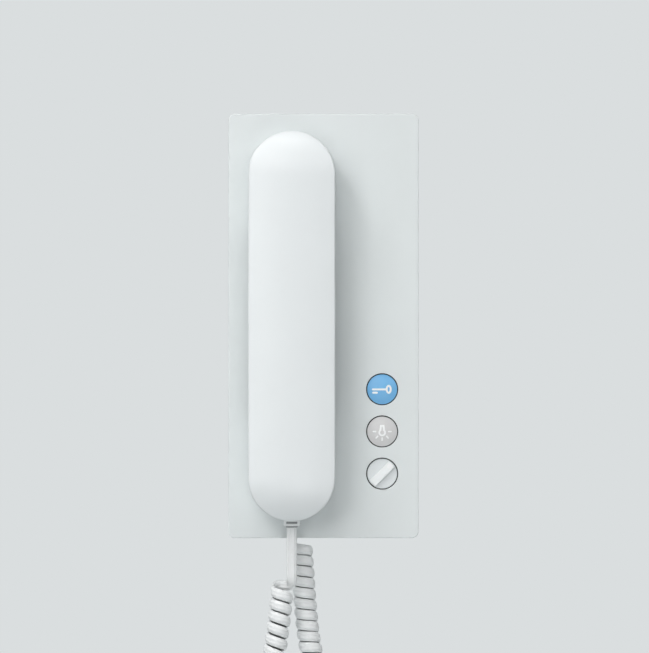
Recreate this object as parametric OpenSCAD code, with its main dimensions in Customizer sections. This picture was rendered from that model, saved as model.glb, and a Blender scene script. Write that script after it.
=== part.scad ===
// Wall intercom telephone: a shallow wall base with two push buttons and a volume knob,
// and a slim handset that hangs on the base and is joined to it by a curly cord.
// Sizes are in millimetres. The wall is the plane y = 0, the front faces -Y and +Z is up.

/* [Base] */
// Width of the base
base_w = 90; // [86:1:100]
// Height of the base
base_h = 201; // [197:1:212]
// Depth of the base, from the wall to its front face
base_depth = 16; // [16:0.5:20]
// Wall of the front cover
cover_wall = 2; // [1.6:0.1:2.2]
// Corner radius of the base
corner_r = 3; // [2.6:0.2:6]
// Thickness of the back plate
plate_t = 2; // [1.6:0.1:2.4]
// Gap between the cover's rim and the wall
rim_gap = 0.4; // [0.2:0.1:0.8]
// Spacing of the two wall screws, one above the other
wall_screw_spacing = 60; // [56:1:64]
// Radius of the wall screw holes
wall_hole_r = 2.2; // [1.8:0.1:2.6]
// Width of the opening that the line cable comes through
cable_w = 22; // [16:1:26]
// Height of the opening that the line cable comes through
cable_h = 14; // [10:1:14]
// Distance from the corner edges to the cover's screw posts
post_inset = 7; // [6.5:0.25:8]
// Radius of the cover's screw posts
post_r = 3.5; // [3.3:0.1:3.8]

/* [Controls] */
// Distance of the controls from the right side of the base
control_in = 17.2; // [15:0.2:19]
// Height of the door button above the lower end of the base
control_up = 70.5; // [66.5:1:72.5]
// Spacing of the two buttons and the knob
control_pitch = 20; // [18.5:0.5:21]
// Diameter of the button caps and the knob
cap_d = 14.2; // [13:0.2:15]
// Gap round each cap in the cover
cap_gap = 0.5; // [0.3:0.05:0.7]
// Height that the caps stand proud of the cover
cap_proud = 0.6; // [0.3:0.1:1.2]
// Fall of the caps' domed faces from their middles to their edges
cap_dome = 1.6; // [0.4:0.1:1.8]
// Travel of the buttons
press_travel = 1; // [0.6:0.1:1.2]
// Depth of the knob's floor below the cover's face
knob_sunk = 0.9; // [0.5:0.1:1]
// Width of the knob's grip bar
grip_bar_w = 4; // [2.4:0.1:4.4]

/* [Handset] */
// Width of the handset
handset_w = 41; // [38:0.5:44]
// Height of the handset
handset_h = 184; // [181:1:188]
// Distance of the handset's middle to the right of the base's middle
handset_x = -15; // [-18:0.5:-12]
// Distance from the wall to the front of the handset
handset_front = 46; // [44:0.5:52]
// Fall of the handset's front from its middle line to its long sides
crown = 2.6; // [1:0.1:3.2]
// Fall of the handset's front towards each end
end_drop = 8; // [5:0.5:9]
// Rounding of the handset's front edge
front_edge = 0.8; // [0.6:0.1:1.6]
// Wall of the handset's shells
shell_wall = 2; // [1.6:0.1:2.4]
// Distance from the wall to the joint between the handset's two shells
shell_joint = 30; // [29:0.25:31]
// Gap between the handset's cups and the cover
cup_gap = 0.3; // [0.2:0.05:0.6]
// Gap behind the grip for the fingers
finger_gap = 8; // [7:0.25:8.5]
// Length of each cup, from the end of the handset
cup_len = 46; // [45:0.5:47]
// Length of the slope from a cup up to the grip
slope_len = 6; // [4:0.5:7]
// Distance of the two shell screws from the middle of the handset
shell_screw_z = 33; // [31:0.5:34]

/* [Hook] */
// Width of the tongue that the handset hangs on
tongue_w = 12; // [9:0.5:13]
// Thickness of the tongue
tongue_t = 3; // [2.4:0.1:3]
// Distance of the tongue's root below the middle of the ear cup
tongue_down = 21.5; // [21:0.25:21.75]
// Length of the tongue in front of the cover
tongue_len = 6.5; // [5:0.25:6.5]
// Slant of the tongue, upward from level
tongue_slant = 36.87; // [35:0.01:38]
// Gap round the tongue in the handset's slot
tongue_gap = 0.5; // [0.4:0.05:0.7]
// Distance of the hook lever's pin below the tongue's root
lever_down = 10; // [9.5:0.25:10.5]
// Distance of the hook lever's pin from the wall
lever_depth = 9.5; // [9.4:0.05:9.75]
// Length of the hook lever, from its pin to the middle of its nub
lever_len = 21; // [20.5:0.25:21.5]
// Width of the hook lever
lever_w = 8; // [6:0.5:9]
// Radius of the hook lever's pin
pin_r = 1; // [0.8:0.05:1.2]

/* [Receiver and microphone] */
// Radius of the ear receiver
receiver_r = 14; // [12:0.25:14.25]
// Depth of the ear receiver
receiver_t = 6.5; // [5:0.25:8]
// Thickness of the receiver's gasket
gasket_t = 1; // [0.6:0.1:1.4]
// Radius of the microphone capsule
microphone_r = 4.8; // [4:0.1:5]
// Depth of the microphone capsule
microphone_t = 5; // [4:0.25:6]
// Wall of the microphone's rubber boot
boot_wall = 1.2; // [0.8:0.1:1.4]

/* [Board] */
// Distance from the wall to the back of the circuit board
board_back = 3.8; // [3.7:0.1:4]
// Thickness of the circuit board
board_t = 1.6; // [1.2:0.1:1.7]
// Gap between the circuit board and the cover's walls
board_margin = 2; // [1:0.25:3]
// Radius of the ringer
ringer_r = 11; // [9:0.5:12]
// Height of the ringer
ringer_t = 6.5; // [5:0.25:7]
// Number of terminals for the line
terminal_count = 5; // [4:1:6]
// Spacing of the terminals
terminal_pitch = 4.6; // [4:0.1:4.8]

/* [Cord] */
// Width of the flat cord
cord_w = 4.6; // [4:0.1:4.7]
// Thickness of the flat cord
cord_t = 2.4; // [1.8:0.1:2.6]
// Radius of the curls at the middle of the cord
curl_r = 4.3; // [3.8:0.1:4.4]
// Width of the plugs at the cord's ends
plug_w = 7.6; // [7:0.1:8]
// Thickness of the plugs
plug_t = 6; // [5.4:0.1:6.1]
// Length of the plugs
plug_len = 11.5; // [11:0.25:12.5]
// Length of the handset's plug that stays outside the handset
plug_out = 3.3; // [2.5:0.1:3.4]
// Distance from the wall to the middle of the handset's plug
handset_plug_depth = 24; // [23.5:0.25:24.5]

/* [Clearances] */
// Gap between pieces that slip together
slip = 0.3; // [0.2:0.05:0.35]
// Gap round pins, shafts and screws
bore_gap = 0.1; // [0.05:0.01:0.15]

/* [Hidden] */
$fn = 48;
// Cuts run this far past the faces that they go through
past = 1;

// Base: levels of its inner faces and its board, as distances from the wall
cover_inside = base_depth - cover_wall;
board_front = board_back + board_t;
inner_w = base_w - 2 * cover_wall;
inner_h = base_h - 2 * cover_wall;
inner_corner_r = max(0.4, corner_r - cover_wall);
board_w = inner_w - 2 * board_margin;
board_h = inner_h - 2 * board_margin;
post_x = base_w / 2 - post_inset;
post_z = base_h / 2 - post_inset;
// The back plate is thicker round the cover's screws, so that their heads sit below its back
pad_t = 3.6;
head_r = 2.6;
head_t = 1.4;
thread_r = 1.4;
cover_screw_len = 9;
// Board screws stand this far in from the board's sides and ends
board_screw_in = 4;
board_screw_down = 24;
board_post_r = 3;
board_screw_tip = 1.2;
// Room in the board round each wall screw's head
wall_head_r = 5.4;
// Lower edge of the line cable's opening, and the board's gap round it
cable_z = 8;
cable_margin = 1;

// Parts on the board: how far their middles lie from the board's nearest side and end,
// then width, height and thickness
terminal_in = 13;
terminal_down = 76.5;
terminal_place = [board_w / 2 - terminal_in, board_h / 2 - terminal_down];
terminal_size = [9, terminal_count * terminal_pitch + 2, 7];
terminal_well = 4;
terminal_screw_r = 1.4;
terminal_screw_t = 2.2;
ringer_in = 17;
ringer_down = 34.5;
ringer_place = [board_w / 2 - ringer_in, board_h / 2 - ringer_down];
ringer_hole_r = 1.2;
transformer_in = 13;
transformer_up = 70.5;
transformer_place = [transformer_in - board_w / 2, transformer_up - board_h / 2];
transformer_core = [18, 10, 7];
transformer_bobbin = [10, 16, 6];
capacitor_in = 11;
capacitor_up = 24;
capacitor_pitch = 8;
capacitor_places = [for (i = [0:2])
    [capacitor_in - board_w / 2, transformer_place.y + capacitor_up + i * capacitor_pitch]];
capacitor_r = 2.6;
capacitor_t = 7;
chip_in = 37;
chip_up = 44.5;
chip_pitch = 14;
chip_places = [for (i = [0:1]) [board_w / 2 - chip_in, chip_up - board_h / 2 - i * chip_pitch]];
chip_size = [10, 5, 1.6];

// Controls: their place on the base, and levels of the caps and of the switches under them
control_x = base_w / 2 - control_in;
control_z = control_up - base_h / 2;
hole_d = cap_d + 2 * cap_gap;
flange_d = hole_d + 1.8;
flange_t = 1.2;
cap_chamfer = 0.4;
dome_steps = 6;
cap_front = base_depth + cap_proud;
flange_front = cover_inside - slip;
stem_r = 2.4;
switch_w = 6;
switch_t = 3.6;
switch_front = board_front + switch_t;
plunger_r = 1.7;
plunger_out = 1.6;
plunger_in = 1.6;
plunger_front = switch_front + plunger_out;
pot_w = 10;
pot_t = 5;
pot_front = board_front + pot_t;
shaft_r = 2;
shaft_in = 1.6;
hub_r = 3.6;
knob_floor = base_depth - knob_sunk;

// Handset: its outline is a stadium, and its front is a crown that falls away at both ends
end_r = handset_w / 2;
end_z = handset_h / 2 - end_r;
end_arc_r = (end_r * end_r + end_drop * end_drop) / (2 * end_drop);
cup_back = base_depth + cup_gap;
cup_floor = cup_back + shell_wall;
grip_back = base_depth + finger_gap;
grip_floor = grip_back + shell_wall;
cup_z = handset_h / 2 - cup_len;
slope_turn = shell_wall * tan(atan((grip_back - cup_back) / slope_len) / 2);
shell_boss_r = 3.2;
shell_head_t = 1.1;
shell_screw_len = 11;
weight_w = 16;
weight_t = 4;
weight_clear = 6;
weight_h = 2 * (shell_screw_z - shell_boss_r - weight_clear);
// Points along each half circle of the handset's outline
arc_steps = 16;
// Rings of the front and of the hollow behind it, as shares of their half widths
front_rings = [0.1, 0.35, 0.65, 0.85];
inner_rings = [1, 0.7, 0.4, 0.1];
// Sound holes of the ear cup and the mouth cup
sound_hole_r = 1;
sound_ring_r = 4.5;
mouth_hole_r = 0.8;
mouth_ring_r = 2.2;

// Receiver and microphone: levels, as distances from the wall
receiver_back = cup_floor + gasket_t + receiver_t;
receiver_frame_t = 2.5;
receiver_magnet_r = 8.5;
gasket_w = 4;
boot_floor = 0.8;
boot_hole_r = 1.5;
microphone_back = cup_floor + boot_floor + microphone_t;

// Cord plugs, their sockets and the levels that they meet
socket_wall = 0.8;
socket_w = plug_w + 2 * (slip + socket_wall);
socket_mouth_w = plug_w + 2 * slip;
socket_mouth_t = plug_t + 2 * slip;
base_plug_depth = board_front + socket_wall + slip + plug_t / 2;
base_socket_len = 14;
base_socket_end = -base_h / 2 + cover_wall + slip;
base_plug_end = -base_h / 2 + cover_wall + 1.5;
handset_socket_len = 10.5;
handset_plug_end = -handset_h / 2 - plug_out;
plug_collar = 0.8;
plug_collar_t = 3.4;
plug_window_w = 5.2;
plug_window_h = 1;
plug_window_deep = 0.8;
plug_window_up = 1.8;
// The flat face of the handset's socket meets the round inside of the shell at its two edges
shell_inside_r = end_r - shell_wall;
handset_socket_end = slip - end_z - sqrt(pow(shell_inside_r, 2) - pow(socket_w / 2, 2));
handset_socket_top = handset_socket_end + handset_socket_len;

// Tongue, hook lever, the switch under the lever and its spring
tongue_z = end_z - tongue_down;
lever_z = tongue_z - lever_down;
lever_t = 2;
lever_boss = 1.6;
lever_back = lever_depth - lever_t / 2;
nub_h = 4;
ear_t = 2;
ear_h = 7;
hook_switch_up = 11;
hook_switch_z = lever_z + hook_switch_up;
hook_button_r = 1.5;
hook_button_t = 0.5;
spring_up = 17;
spring_z = lever_z + spring_up;
spring_r = 1.8;
spring_wire = 0.4;
spring_turns = 3;

// Route of the curly cord's middle line: turns of the curl counted from the handset, then x, y and z
route = [
    [0, -19.3, -24, -123],
    [2, -20.4, -24, -134],
    [4, -21.8, -24, -145],
    [6, -23.4, -23.5, -156],
    [9, -27.4, -22.5, -172.5],
    [11.5, -30, -21.5, -186],
    [13.5, -31, -20.5, -198],
    [15.25, -26, -19, -210],
    [17, -14.5, -17.5, -215],
    [18.75, -3, -16, -210],
    [20.5, 2, -14.5, -198],
    [22.5, 1, -13, -186],
    [25, -1.8, -11.5, -172.5],
    [28, -5.4, -10, -156.5],
    [30, -7.2, -9.5, -146],
    [33, -8.8, -9.5, -130.5],
    [35.5, -9.7, -9.5, -117.5],
    [38, -10.7, -9.5, -104.5]];
curl_turns = route[len(route) - 1][0];
rings_per_turn = 8;
// Height over which the cord swings from each straight lead into its first curl
handset_lead_in = 3.5;
base_lead_in = 2.8;
lead_in_steps = 4;

// Thin leads in the handset: x from the handset's middle, height, distance from the wall
thin_lead_d = 1.6;
receiver_route = concat(
    [[3, handset_socket_top, 24], [3, handset_socket_top + 1.6, 24]],
    [[8, -end_z - 1.5, 25.5], [12, -end_z + 9.5, 28.5], [12.5, -end_z + 21.5, 29]],
    [[12.5, end_z - 31.5, 29], [11.5, end_z - 17.5, 30], [8.5, end_z - 5.5, 30.5]],
    [[7, end_z - 1, receiver_back + 2.4], [7, end_z - 1, receiver_back]]);
microphone_route = concat(
    [[-3, handset_socket_top, 24.5], [-3, handset_socket_top + 1.6, 24.5]],
    [[-3, -end_z - 3.5, 26], [-3, -end_z - 2, 27.5]],
    [[-2.5, -end_z, microphone_back + 2], [-2.5, -end_z, microphone_back]]);

// Frame in which x is to the right, y is up and z is the distance from the wall
module on_wall() {
    rotate([90, 0, 0]) children();
}

module on_handset() {
    on_wall() translate([handset_x, 0, 0]) children();
}

module rounded_rect(w, h, r) {
    square([w - 2 * r, h], center = true);
    square([w, h - 2 * r], center = true);
    for (x = [-1, 1], y = [-1, 1]) {
        translate([x * (w / 2 - r), y * (h / 2 - r)]) circle(r);
    }
}

module stadium(r) {
    square([2 * r, 2 * end_z], center = true);
    for (y = [-1, 1]) {
        translate([0, y * end_z]) circle(r);
    }
}

// Block by its middle in x and up, its width and height, and the distances from the wall that it lies between
module block(x, up, w, h, from, to) {
    translate([x - w / 2, up - h / 2, from]) cube([w, h, to - from]);
}

module rod(x, up, r, from, to) {
    translate([x, up, from]) cylinder(r = r, h = to - from);
}

module at_cover_posts() {
    for (x = [-post_x, post_x], y = [-post_z, post_z]) {
        translate([x, y, 0]) children();
    }
}

module at_board_screws() {
    for (x = [-1, 1], y = [-1, 1]) {
        translate([x * (board_w / 2 - board_screw_in), y * (board_h / 2 - board_screw_down), 0]) children();
    }
}

module at_lever_pin() {
    translate([handset_x, lever_z, lever_depth]) rotate([0, 90, 0]) children();
}

// Triangles over one end ring of a loft, in strips that run across from the ring's point number peak
function cap_faces(n, first, peak, turned) = [for (j = [0:n / 2 - 1])
    let(a = first + (peak + j) % n, b = first + (peak + j + 1) % n)
    let(c = first + (peak + n - j - 1) % n, d = first + (peak + n - j) % n)
    each concat(
        j < n / 2 - 1 ? [turned ? [c, b, a] : [a, b, c]] : [],
        j > 0 ? [turned ? [d, c, a] : [a, c, d]] : [])];

// Solid skin over a list of rings of points, closed at both ends
module loft(rings, peak = 0) {
    n = len(rings[0]);
    polyhedron(
        points = [for (ring = rings) each ring],
        faces = concat(
            cap_faces(n, 0, peak, true),
            cap_faces(n, (len(rings) - 1) * n, peak, false),
            [for (i = [0:len(rings) - 2], k = [0:n - 1])
                let(a = i * n + k, b = i * n + (k + 1) % n)
                each [[a, b + n, a + n], [a, b, b + n]]]));
}

function unit(v) = v / norm(v);
function square_to(v, axis) = unit(v - (v * axis) * axis);

// Front face of the handset: its distance from the wall at a point of its outline
function end_fall(y) = let(t = max(0, abs(y) - end_z)) end_arc_r - sqrt(end_arc_r * end_arc_r - t * t);
function front_at(p) = handset_front - crown * pow(p.x / end_r, 2) - end_fall(p.y);

function stadium_points(r) = concat(
    [for (i = [0:arc_steps]) let(a = 180 * i / arc_steps) [r * cos(a), end_z + r * sin(a)]],
    [for (i = [0:arc_steps]) let(a = 180 * i / arc_steps) [-r * cos(a), -end_z - r * sin(a)]]);

// Rings of the front shell: one that follows the front face, sunk below it, and one at a level
function face_ring(r, sunk) = [for (p = stadium_points(r)) [p.x, p.y, front_at(p) - sunk]];
function level_ring(r, depth) = [for (p = stadium_points(r)) [p.x, p.y, depth]];

// Curly cord: a smooth curve through the route's points, with one turn of the curl for each turn counted
function leg(u, i = 0) = i >= len(route) - 2 || u < route[i + 1][0] ? i : leg(u, i + 1);
function place(i) = [route[i][1], route[i][2], route[i][3]];
function pace(i) = let(a = max(0, i - 1), b = min(len(route) - 1, i + 1))
    (place(b) - place(a)) / (route[b][0] - route[a][0]);
function middle(u) = let(i = leg(u), d = route[i + 1][0] - route[i][0], t = (u - route[i][0]) / d)
    place(i) * (1 + 2 * t) * pow(1 - t, 2) + place(i + 1) * t * t * (3 - 2 * t)
    + pace(i) * d * t * pow(1 - t, 2) - pace(i + 1) * d * t * t * (1 - t);
function heading(u) = let(a = max(0, u - 0.05), b = min(curl_turns, u + 0.05)) unit(middle(b) - middle(a));
function outward(u) = let(t = heading(u), back = square_to([0, 1, 0], t))
    cos(360 * u) * cross(t, back) + sin(360 * u) * back;
function curl(u) = middle(u) + curl_r * outward(u);

// Each stop along the cord is a point and the direction that the cord's flat side faces there
function handset_swing(v) = [curl(v * v / 4) + [0, 0, handset_lead_in * pow(1 - v, 2)], [0, 1, 0]];
function base_swing(v) = [curl(curl_turns - v * v / 4) + [0, 0, base_lead_in * pow(1 - v, 2)], [0, -1, 0]];
handset_lead_top = [handset_x, -handset_plug_depth, handset_plug_end - bore_gap];
base_lead_top = [handset_x, -base_plug_depth, base_plug_end];
cord_stops = concat(
    [[handset_lead_top, [0, 1, 0]], [handset_lead_top - [0, 0, cord_w], [0, 1, 0]]],
    [for (i = [0:lead_in_steps - 1]) handset_swing(i / lead_in_steps)],
    [for (i = [2:rings_per_turn * curl_turns - 2]) let(u = i / rings_per_turn) [curl(u), outward(u)]],
    [for (i = [lead_in_steps - 1:-1:0]) base_swing(i / lead_in_steps)],
    [[base_lead_top, [0, -1, 0]]]);

// Corners of a flat cord with rounded edges and of a round wire, as shares of half the width and thickness
flat_section = [[1, 0], [0.6, 1], [-0.6, 1], [-1, 0], [-0.6, -1], [0.6, -1]];
wire_section = [for (k = [0:5]) [cos(60 * k), sin(60 * k)]];
lead_section = [for (k = [0:7]) [cos(45 * k), sin(45 * k)]];

function along(stops, i) = unit(stops[min(i + 1, len(stops) - 1)][0] - stops[max(i - 1, 0)][0]);
function section_ring(stop, t, section, w, d) = let(flat = square_to(stop[1], t), side = cross(t, flat))
    [for (c = section) stop[0] + side * c.x * w / 2 + flat * c.y * d / 2];
function tube_rings(stops, section, w, d) =
    [for (i = [0:len(stops) - 1]) section_ring(stops[i], along(stops, i), section, w, d)];
function lead_stops(points) = [for (p = points) [p, [1, 0.2, 0.1]]];

// Least distance from the corners of each ring to the edges of the tube about a turn further on
near_turn = rings_per_turn - 3;
far_turn = rings_per_turn + 3;
function to_edge(p, a, b) = let(d = b - a, t = max(0, min(1, (p - a) * d / (d * d)))) norm(p - a - t * d);
function turn_gap(rings) = min([for (i = [0:len(rings) - 2 - near_turn])
    for (j = [i + near_turn:min(i + far_turn, len(rings) - 2)])
        for (p = rings[i], k = [0:len(rings[i]) - 1]) to_edge(p, rings[j][k], rings[j + 1][k])]);

// Hook spring: a plain helix that stands on the board under the lever
spring_back = board_front + spring_wire / 2 + bore_gap;
spring_rise = lever_back - bore_gap - spring_wire / 2 - spring_back;
spring_stops = [for (i = [0:rings_per_turn * spring_turns])
    let(t = i / rings_per_turn, out = [cos(360 * t), sin(360 * t), 0])
    [[handset_x, spring_z, spring_back + spring_rise * t / spring_turns] + spring_r * out, out]];

module base_plate() {
    color("whitesmoke") on_wall() difference() {
        union() {
            linear_extrude(plate_t) rounded_rect(inner_w - 2 * slip, inner_h - 2 * slip, inner_corner_r);
            at_cover_posts() cylinder(r = post_r, h = pad_t);
            at_board_screws() cylinder(r = board_post_r, h = board_back);
            for (x = [-1, 1]) {
                block(handset_x + x * (lever_w / 2 + slip + ear_t / 2), lever_z, ear_t, ear_h,
                    plate_t / 2, lever_depth + ear_h / 2);
            }
        }
        for (y = [-1, 1]) {
            rod(0, y * wall_screw_spacing / 2, wall_hole_r, -past, plate_t + past);
        }
        block(0, cable_z + cable_h / 2, cable_w, cable_h, -past, plate_t + past);
        at_cover_posts() {
            translate([0, 0, -past]) cylinder(r = thread_r + bore_gap, h = pad_t + 2 * past);
            translate([0, 0, -past]) cylinder(r = head_r + slip, h = head_t + slip + past);
        }
        at_board_screws() translate([0, 0, board_screw_tip - bore_gap])
            cylinder(r = thread_r + bore_gap, h = board_back);
        at_lever_pin() cylinder(r = pin_r + bore_gap / 2, h = 3 * lever_w, center = true);
    }
}

// Tongue that slants out and up from the cover, or the slot for it when given a gap
module tongue(gap, root, len) {
    translate([handset_x, tongue_z, base_depth]) rotate([90 - tongue_slant, 0, 0])
        translate([-tongue_w / 2 - gap, -root, -tongue_t / 2 - gap])
            cube([tongue_w + 2 * gap, root + len, tongue_t + 2 * gap]);
}

module front_cover() {
    color("whitesmoke") on_wall() difference() {
        union() {
            difference() {
                translate([0, 0, rim_gap]) linear_extrude(base_depth - rim_gap)
                    rounded_rect(base_w, base_h, corner_r);
                translate([0, 0, rim_gap - past]) linear_extrude(cover_inside - rim_gap + past)
                    rounded_rect(inner_w, inner_h, inner_corner_r);
            }
            at_cover_posts() translate([0, 0, pad_t])
                cylinder(r = post_r, h = cover_inside - pad_t + cover_wall / 2);
            tongue(0, cover_wall / 2 / cos(tongue_slant), tongue_len);
        }
        for (i = [0:2]) {
            rod(control_x, control_z - i * control_pitch, hole_d / 2, cover_inside - past, base_depth + past);
        }
        block(handset_x, lever_z + lever_len - nub_h / 2, lever_w + 2 * slip, 2 * nub_h + 2 * slip,
            cover_inside - past, base_depth + past);
        block(handset_x, -base_h / 2, socket_mouth_w, 2 * (cover_wall + past),
            base_plug_depth - socket_mouth_t / 2, base_plug_depth + socket_mouth_t / 2);
        at_cover_posts() translate([0, 0, pad_t - past])
            cylinder(r = thread_r + bore_gap, h = cover_screw_len);
    }
}

module cover_screws() {
    color("silver") on_wall() at_cover_posts() {
        translate([0, 0, slip]) cylinder(r = head_r, h = head_t);
        translate([0, 0, slip + head_t]) cylinder(r = thread_r, h = cover_screw_len);
    }
}

module main_board() {
    notch = post_r + slip;
    color("seagreen") on_wall() difference() {
        translate([0, 0, board_back]) linear_extrude(board_t) square([board_w, board_h], center = true);
        for (x = [-1, 1], y = [-1, 1]) {
            block(x * (post_x - notch + base_w / 2), y * (post_z - notch + base_h / 2), base_w, base_h,
                board_back - past, board_front + past);
        }
        for (y = [-1, 1]) {
            rod(0, y * wall_screw_spacing / 2, wall_head_r, board_back - past, board_front + past);
        }
        block(0, cable_z + cable_h / 2, cable_w + 2 * cable_margin, cable_h + 2 * cable_margin,
            board_back - past, board_front + past);
        block(handset_x, lever_z, lever_w + 2 * (ear_t + 2 * slip), ear_h + 2 * slip,
            board_back - past, board_front + past);
        at_board_screws() translate([0, 0, board_back - past])
            cylinder(r = thread_r + bore_gap, h = board_t + 2 * past);
    }
}

module board_screws() {
    color("silver") on_wall() at_board_screws() {
        translate([0, 0, board_front]) cylinder(r = head_r, h = head_t);
        translate([0, 0, board_screw_tip]) cylinder(r = thread_r, h = board_front - board_screw_tip);
    }
}

module at_terminals() {
    for (i = [0:terminal_count - 1]) {
        translate([terminal_place.x, terminal_place.y + (i - (terminal_count - 1) / 2) * terminal_pitch,
            board_front + terminal_size.z - terminal_well]) children();
    }
}

module terminal_block() {
    color("darkgreen") on_wall() difference() {
        block(terminal_place.x, terminal_place.y, terminal_size.x, terminal_size.y,
            board_front, board_front + terminal_size.z);
        at_terminals() cylinder(r = terminal_screw_r + bore_gap, h = terminal_well + past);
    }
}

module terminal_screws() {
    color("silver") on_wall() at_terminals() cylinder(r = terminal_screw_r, h = terminal_screw_t);
}

module ringer() {
    color("dimgray") on_wall() difference() {
        rod(ringer_place.x, ringer_place.y, ringer_r, board_front, board_front + ringer_t);
        rod(ringer_place.x, ringer_place.y, ringer_hole_r,
            board_front + ringer_t / 2, board_front + ringer_t + past);
    }
}

module line_transformer() {
    color("sienna") on_wall() union() {
        for (size = [transformer_core, transformer_bobbin]) {
            block(transformer_place.x, transformer_place.y, size.x, size.y,
                board_front, board_front + size.z);
        }
    }
}

module capacitors() {
    color("midnightblue") on_wall() for (p = capacitor_places) {
        rod(p.x, p.y, capacitor_r, board_front, board_front + capacitor_t);
    }
}

module chips() {
    color("black") on_wall() for (p = chip_places) {
        block(p.x, p.y, chip_size.x, chip_size.y, board_front, board_front + chip_size.z);
    }
}

// Push switch on the board under a button, given the button's number from the top
module push_switch(i) {
    up = control_z - i * control_pitch;
    on_wall() difference() {
        block(control_x, up, switch_w, switch_w, board_front, switch_front);
        rod(control_x, up, plunger_r + bore_gap,
            switch_front - plunger_in - press_travel - slip, switch_front + past);
    }
}

module plunger(i) {
    on_wall() rod(control_x, control_z - i * control_pitch, plunger_r,
        switch_front - plunger_in, plunger_front);
}

// Cap with a stem that rests on its plunger and a flange that keeps it behind the cover
module button(i) {
    cap_r = cap_d / 2;
    face_r = cap_r - cap_chamfer;
    dome = [for (k = [dome_steps:-1:0]) let (r = face_r * k / dome_steps)
        [r, cap_front - cap_dome * pow(r / cap_r, 2)]];
    on_wall() translate([control_x, control_z - i * control_pitch, 0]) rotate_extrude()
        polygon(concat([[0, plunger_front], [stem_r, plunger_front], [stem_r, flange_front - flange_t],
            [flange_d / 2, flange_front - flange_t], [flange_d / 2, flange_front], [cap_r, flange_front],
            [cap_r, dome[0].y - cap_chamfer]], dome));
}

module door_switch() {
    color("dimgray") push_switch(0);
}

module light_switch() {
    color("dimgray") push_switch(1);
}

module door_plunger() {
    color("gold") plunger(0);
}

module light_plunger() {
    color("gold") plunger(1);
}

module door_button() {
    color("cornflowerblue") button(0);
}

module light_button() {
    color("lightgray") button(1);
}

module at_knob() {
    translate([control_x, control_z - 2 * control_pitch, 0]) children();
}

module volume_potentiometer() {
    color("dimgray") on_wall() at_knob() difference() {
        block(0, 0, pot_w, pot_w, board_front, pot_front);
        rod(0, 0, shaft_r + bore_gap, pot_front - shaft_in - bore_gap, pot_front + past);
    }
}

module potentiometer_shaft() {
    color("silver") on_wall() at_knob() rod(0, 0, shaft_r, pot_front - shaft_in, flange_front);
}

module volume_knob() {
    color("lightgray") on_wall() at_knob() difference() {
        union() {
            rod(0, 0, hub_r, pot_front + slip, flange_front);
            rod(0, 0, flange_d / 2, flange_front - flange_t, flange_front);
            rod(0, 0, cap_d / 2, flange_front - flange_t, knob_floor);
            intersection() {
                rod(0, 0, cap_d / 2 - cap_chamfer, flange_front, cap_front);
                rotate([0, 0, 45]) block(0, 0, cap_d, grip_bar_w, flange_front, cap_front);
            }
        }
        rod(0, 0, shaft_r + bore_gap, pot_front, flange_front + bore_gap);
    }
}

module hook_switch() {
    color("dimgray") on_wall() union() {
        block(handset_x, hook_switch_z, switch_w, switch_w, board_front, lever_back - slip - hook_button_t);
        rod(handset_x, hook_switch_z, hook_button_r, board_front, lever_back - slip);
    }
}

module hook_pin() {
    color("silver") on_wall() at_lever_pin()
        cylinder(r = pin_r, h = lever_w + 2 * (slip + ear_t), center = true);
}

module hook_spring() {
    color("silver") on_wall() loft(tube_rings(spring_stops, wire_section, spring_wire, spring_wire));
}

module hook_lever() {
    arm_end = lever_len + nub_h / 2;
    color("gainsboro") on_wall() difference() {
        union() {
            at_lever_pin() cylinder(r = pin_r + lever_boss, h = lever_w, center = true);
            block(handset_x, lever_z + arm_end / 2, lever_w, arm_end, lever_back, lever_back + lever_t);
            block(handset_x, lever_z + lever_len, lever_w, nub_h, lever_back, base_depth);
        }
        at_lever_pin() cylinder(r = pin_r + bore_gap, h = 2 * lever_w, center = true);
    }
}

module base_socket() {
    color("dimgray") on_wall() difference() {
        block(handset_x, base_socket_end + base_socket_len / 2, socket_w, base_socket_len,
            board_front, base_plug_depth + plug_t / 2 + slip + socket_wall);
        block(handset_x, base_plug_end, socket_mouth_w, 2 * (plug_len + slip),
            base_plug_depth - socket_mouth_t / 2, base_plug_depth + socket_mouth_t / 2);
    }
}

// Modular plug with its cord end down: a collar for the cord, and the window of its cord clamp in front
module plug(depth, end) {
    on_handset() difference() {
        union() {
            block(0, end + (plug_len + plug_collar) / 2, plug_w, plug_len - plug_collar,
                depth - plug_t / 2, depth + plug_t / 2);
            block(0, end + plug_collar, cord_w + 1, 2 * plug_collar,
                depth - plug_collar_t / 2, depth + plug_collar_t / 2);
        }
        block(0, end + plug_window_up + plug_window_h / 2, plug_window_w, plug_window_h,
            depth + plug_t / 2 - plug_window_deep, depth + plug_t / 2 + past);
    }
}

module base_plug() {
    color("white") plug(base_plug_depth, base_plug_end);
}

module handset_plug() {
    color("white") plug(handset_plug_depth, handset_plug_end);
}

module curly_cord() {
    rings = tube_rings(cord_stops, flat_section, cord_w, cord_t);
    echo(cord_turns = curl_turns, least_gap = turn_gap(rings));
    color("white") loft(rings);
}

module handset_front_shell() {
    edge = front_edge * (1 - sin(45));
    rings = concat(
        [for (share = front_rings) face_ring(share * end_r, 0)],
        [face_ring(end_r - front_edge, 0), face_ring(end_r - edge, edge), face_ring(end_r, front_edge)],
        [level_ring(end_r, shell_joint), level_ring(shell_inside_r, shell_joint)],
        [for (share = inner_rings) face_ring(share * shell_inside_r, shell_wall)]);
    color("white") on_handset() difference() {
        union() {
            loft(rings, arc_steps / 2);
            for (y = [-1, 1]) {
                rod(0, y * shell_screw_z, shell_boss_r, grip_floor, handset_front - shell_wall / 2);
            }
        }
        for (y = [-1, 1]) {
            rod(0, y * shell_screw_z, thread_r + bore_gap, grip_floor - past, grip_floor + shell_screw_len);
        }
    }
}

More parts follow.
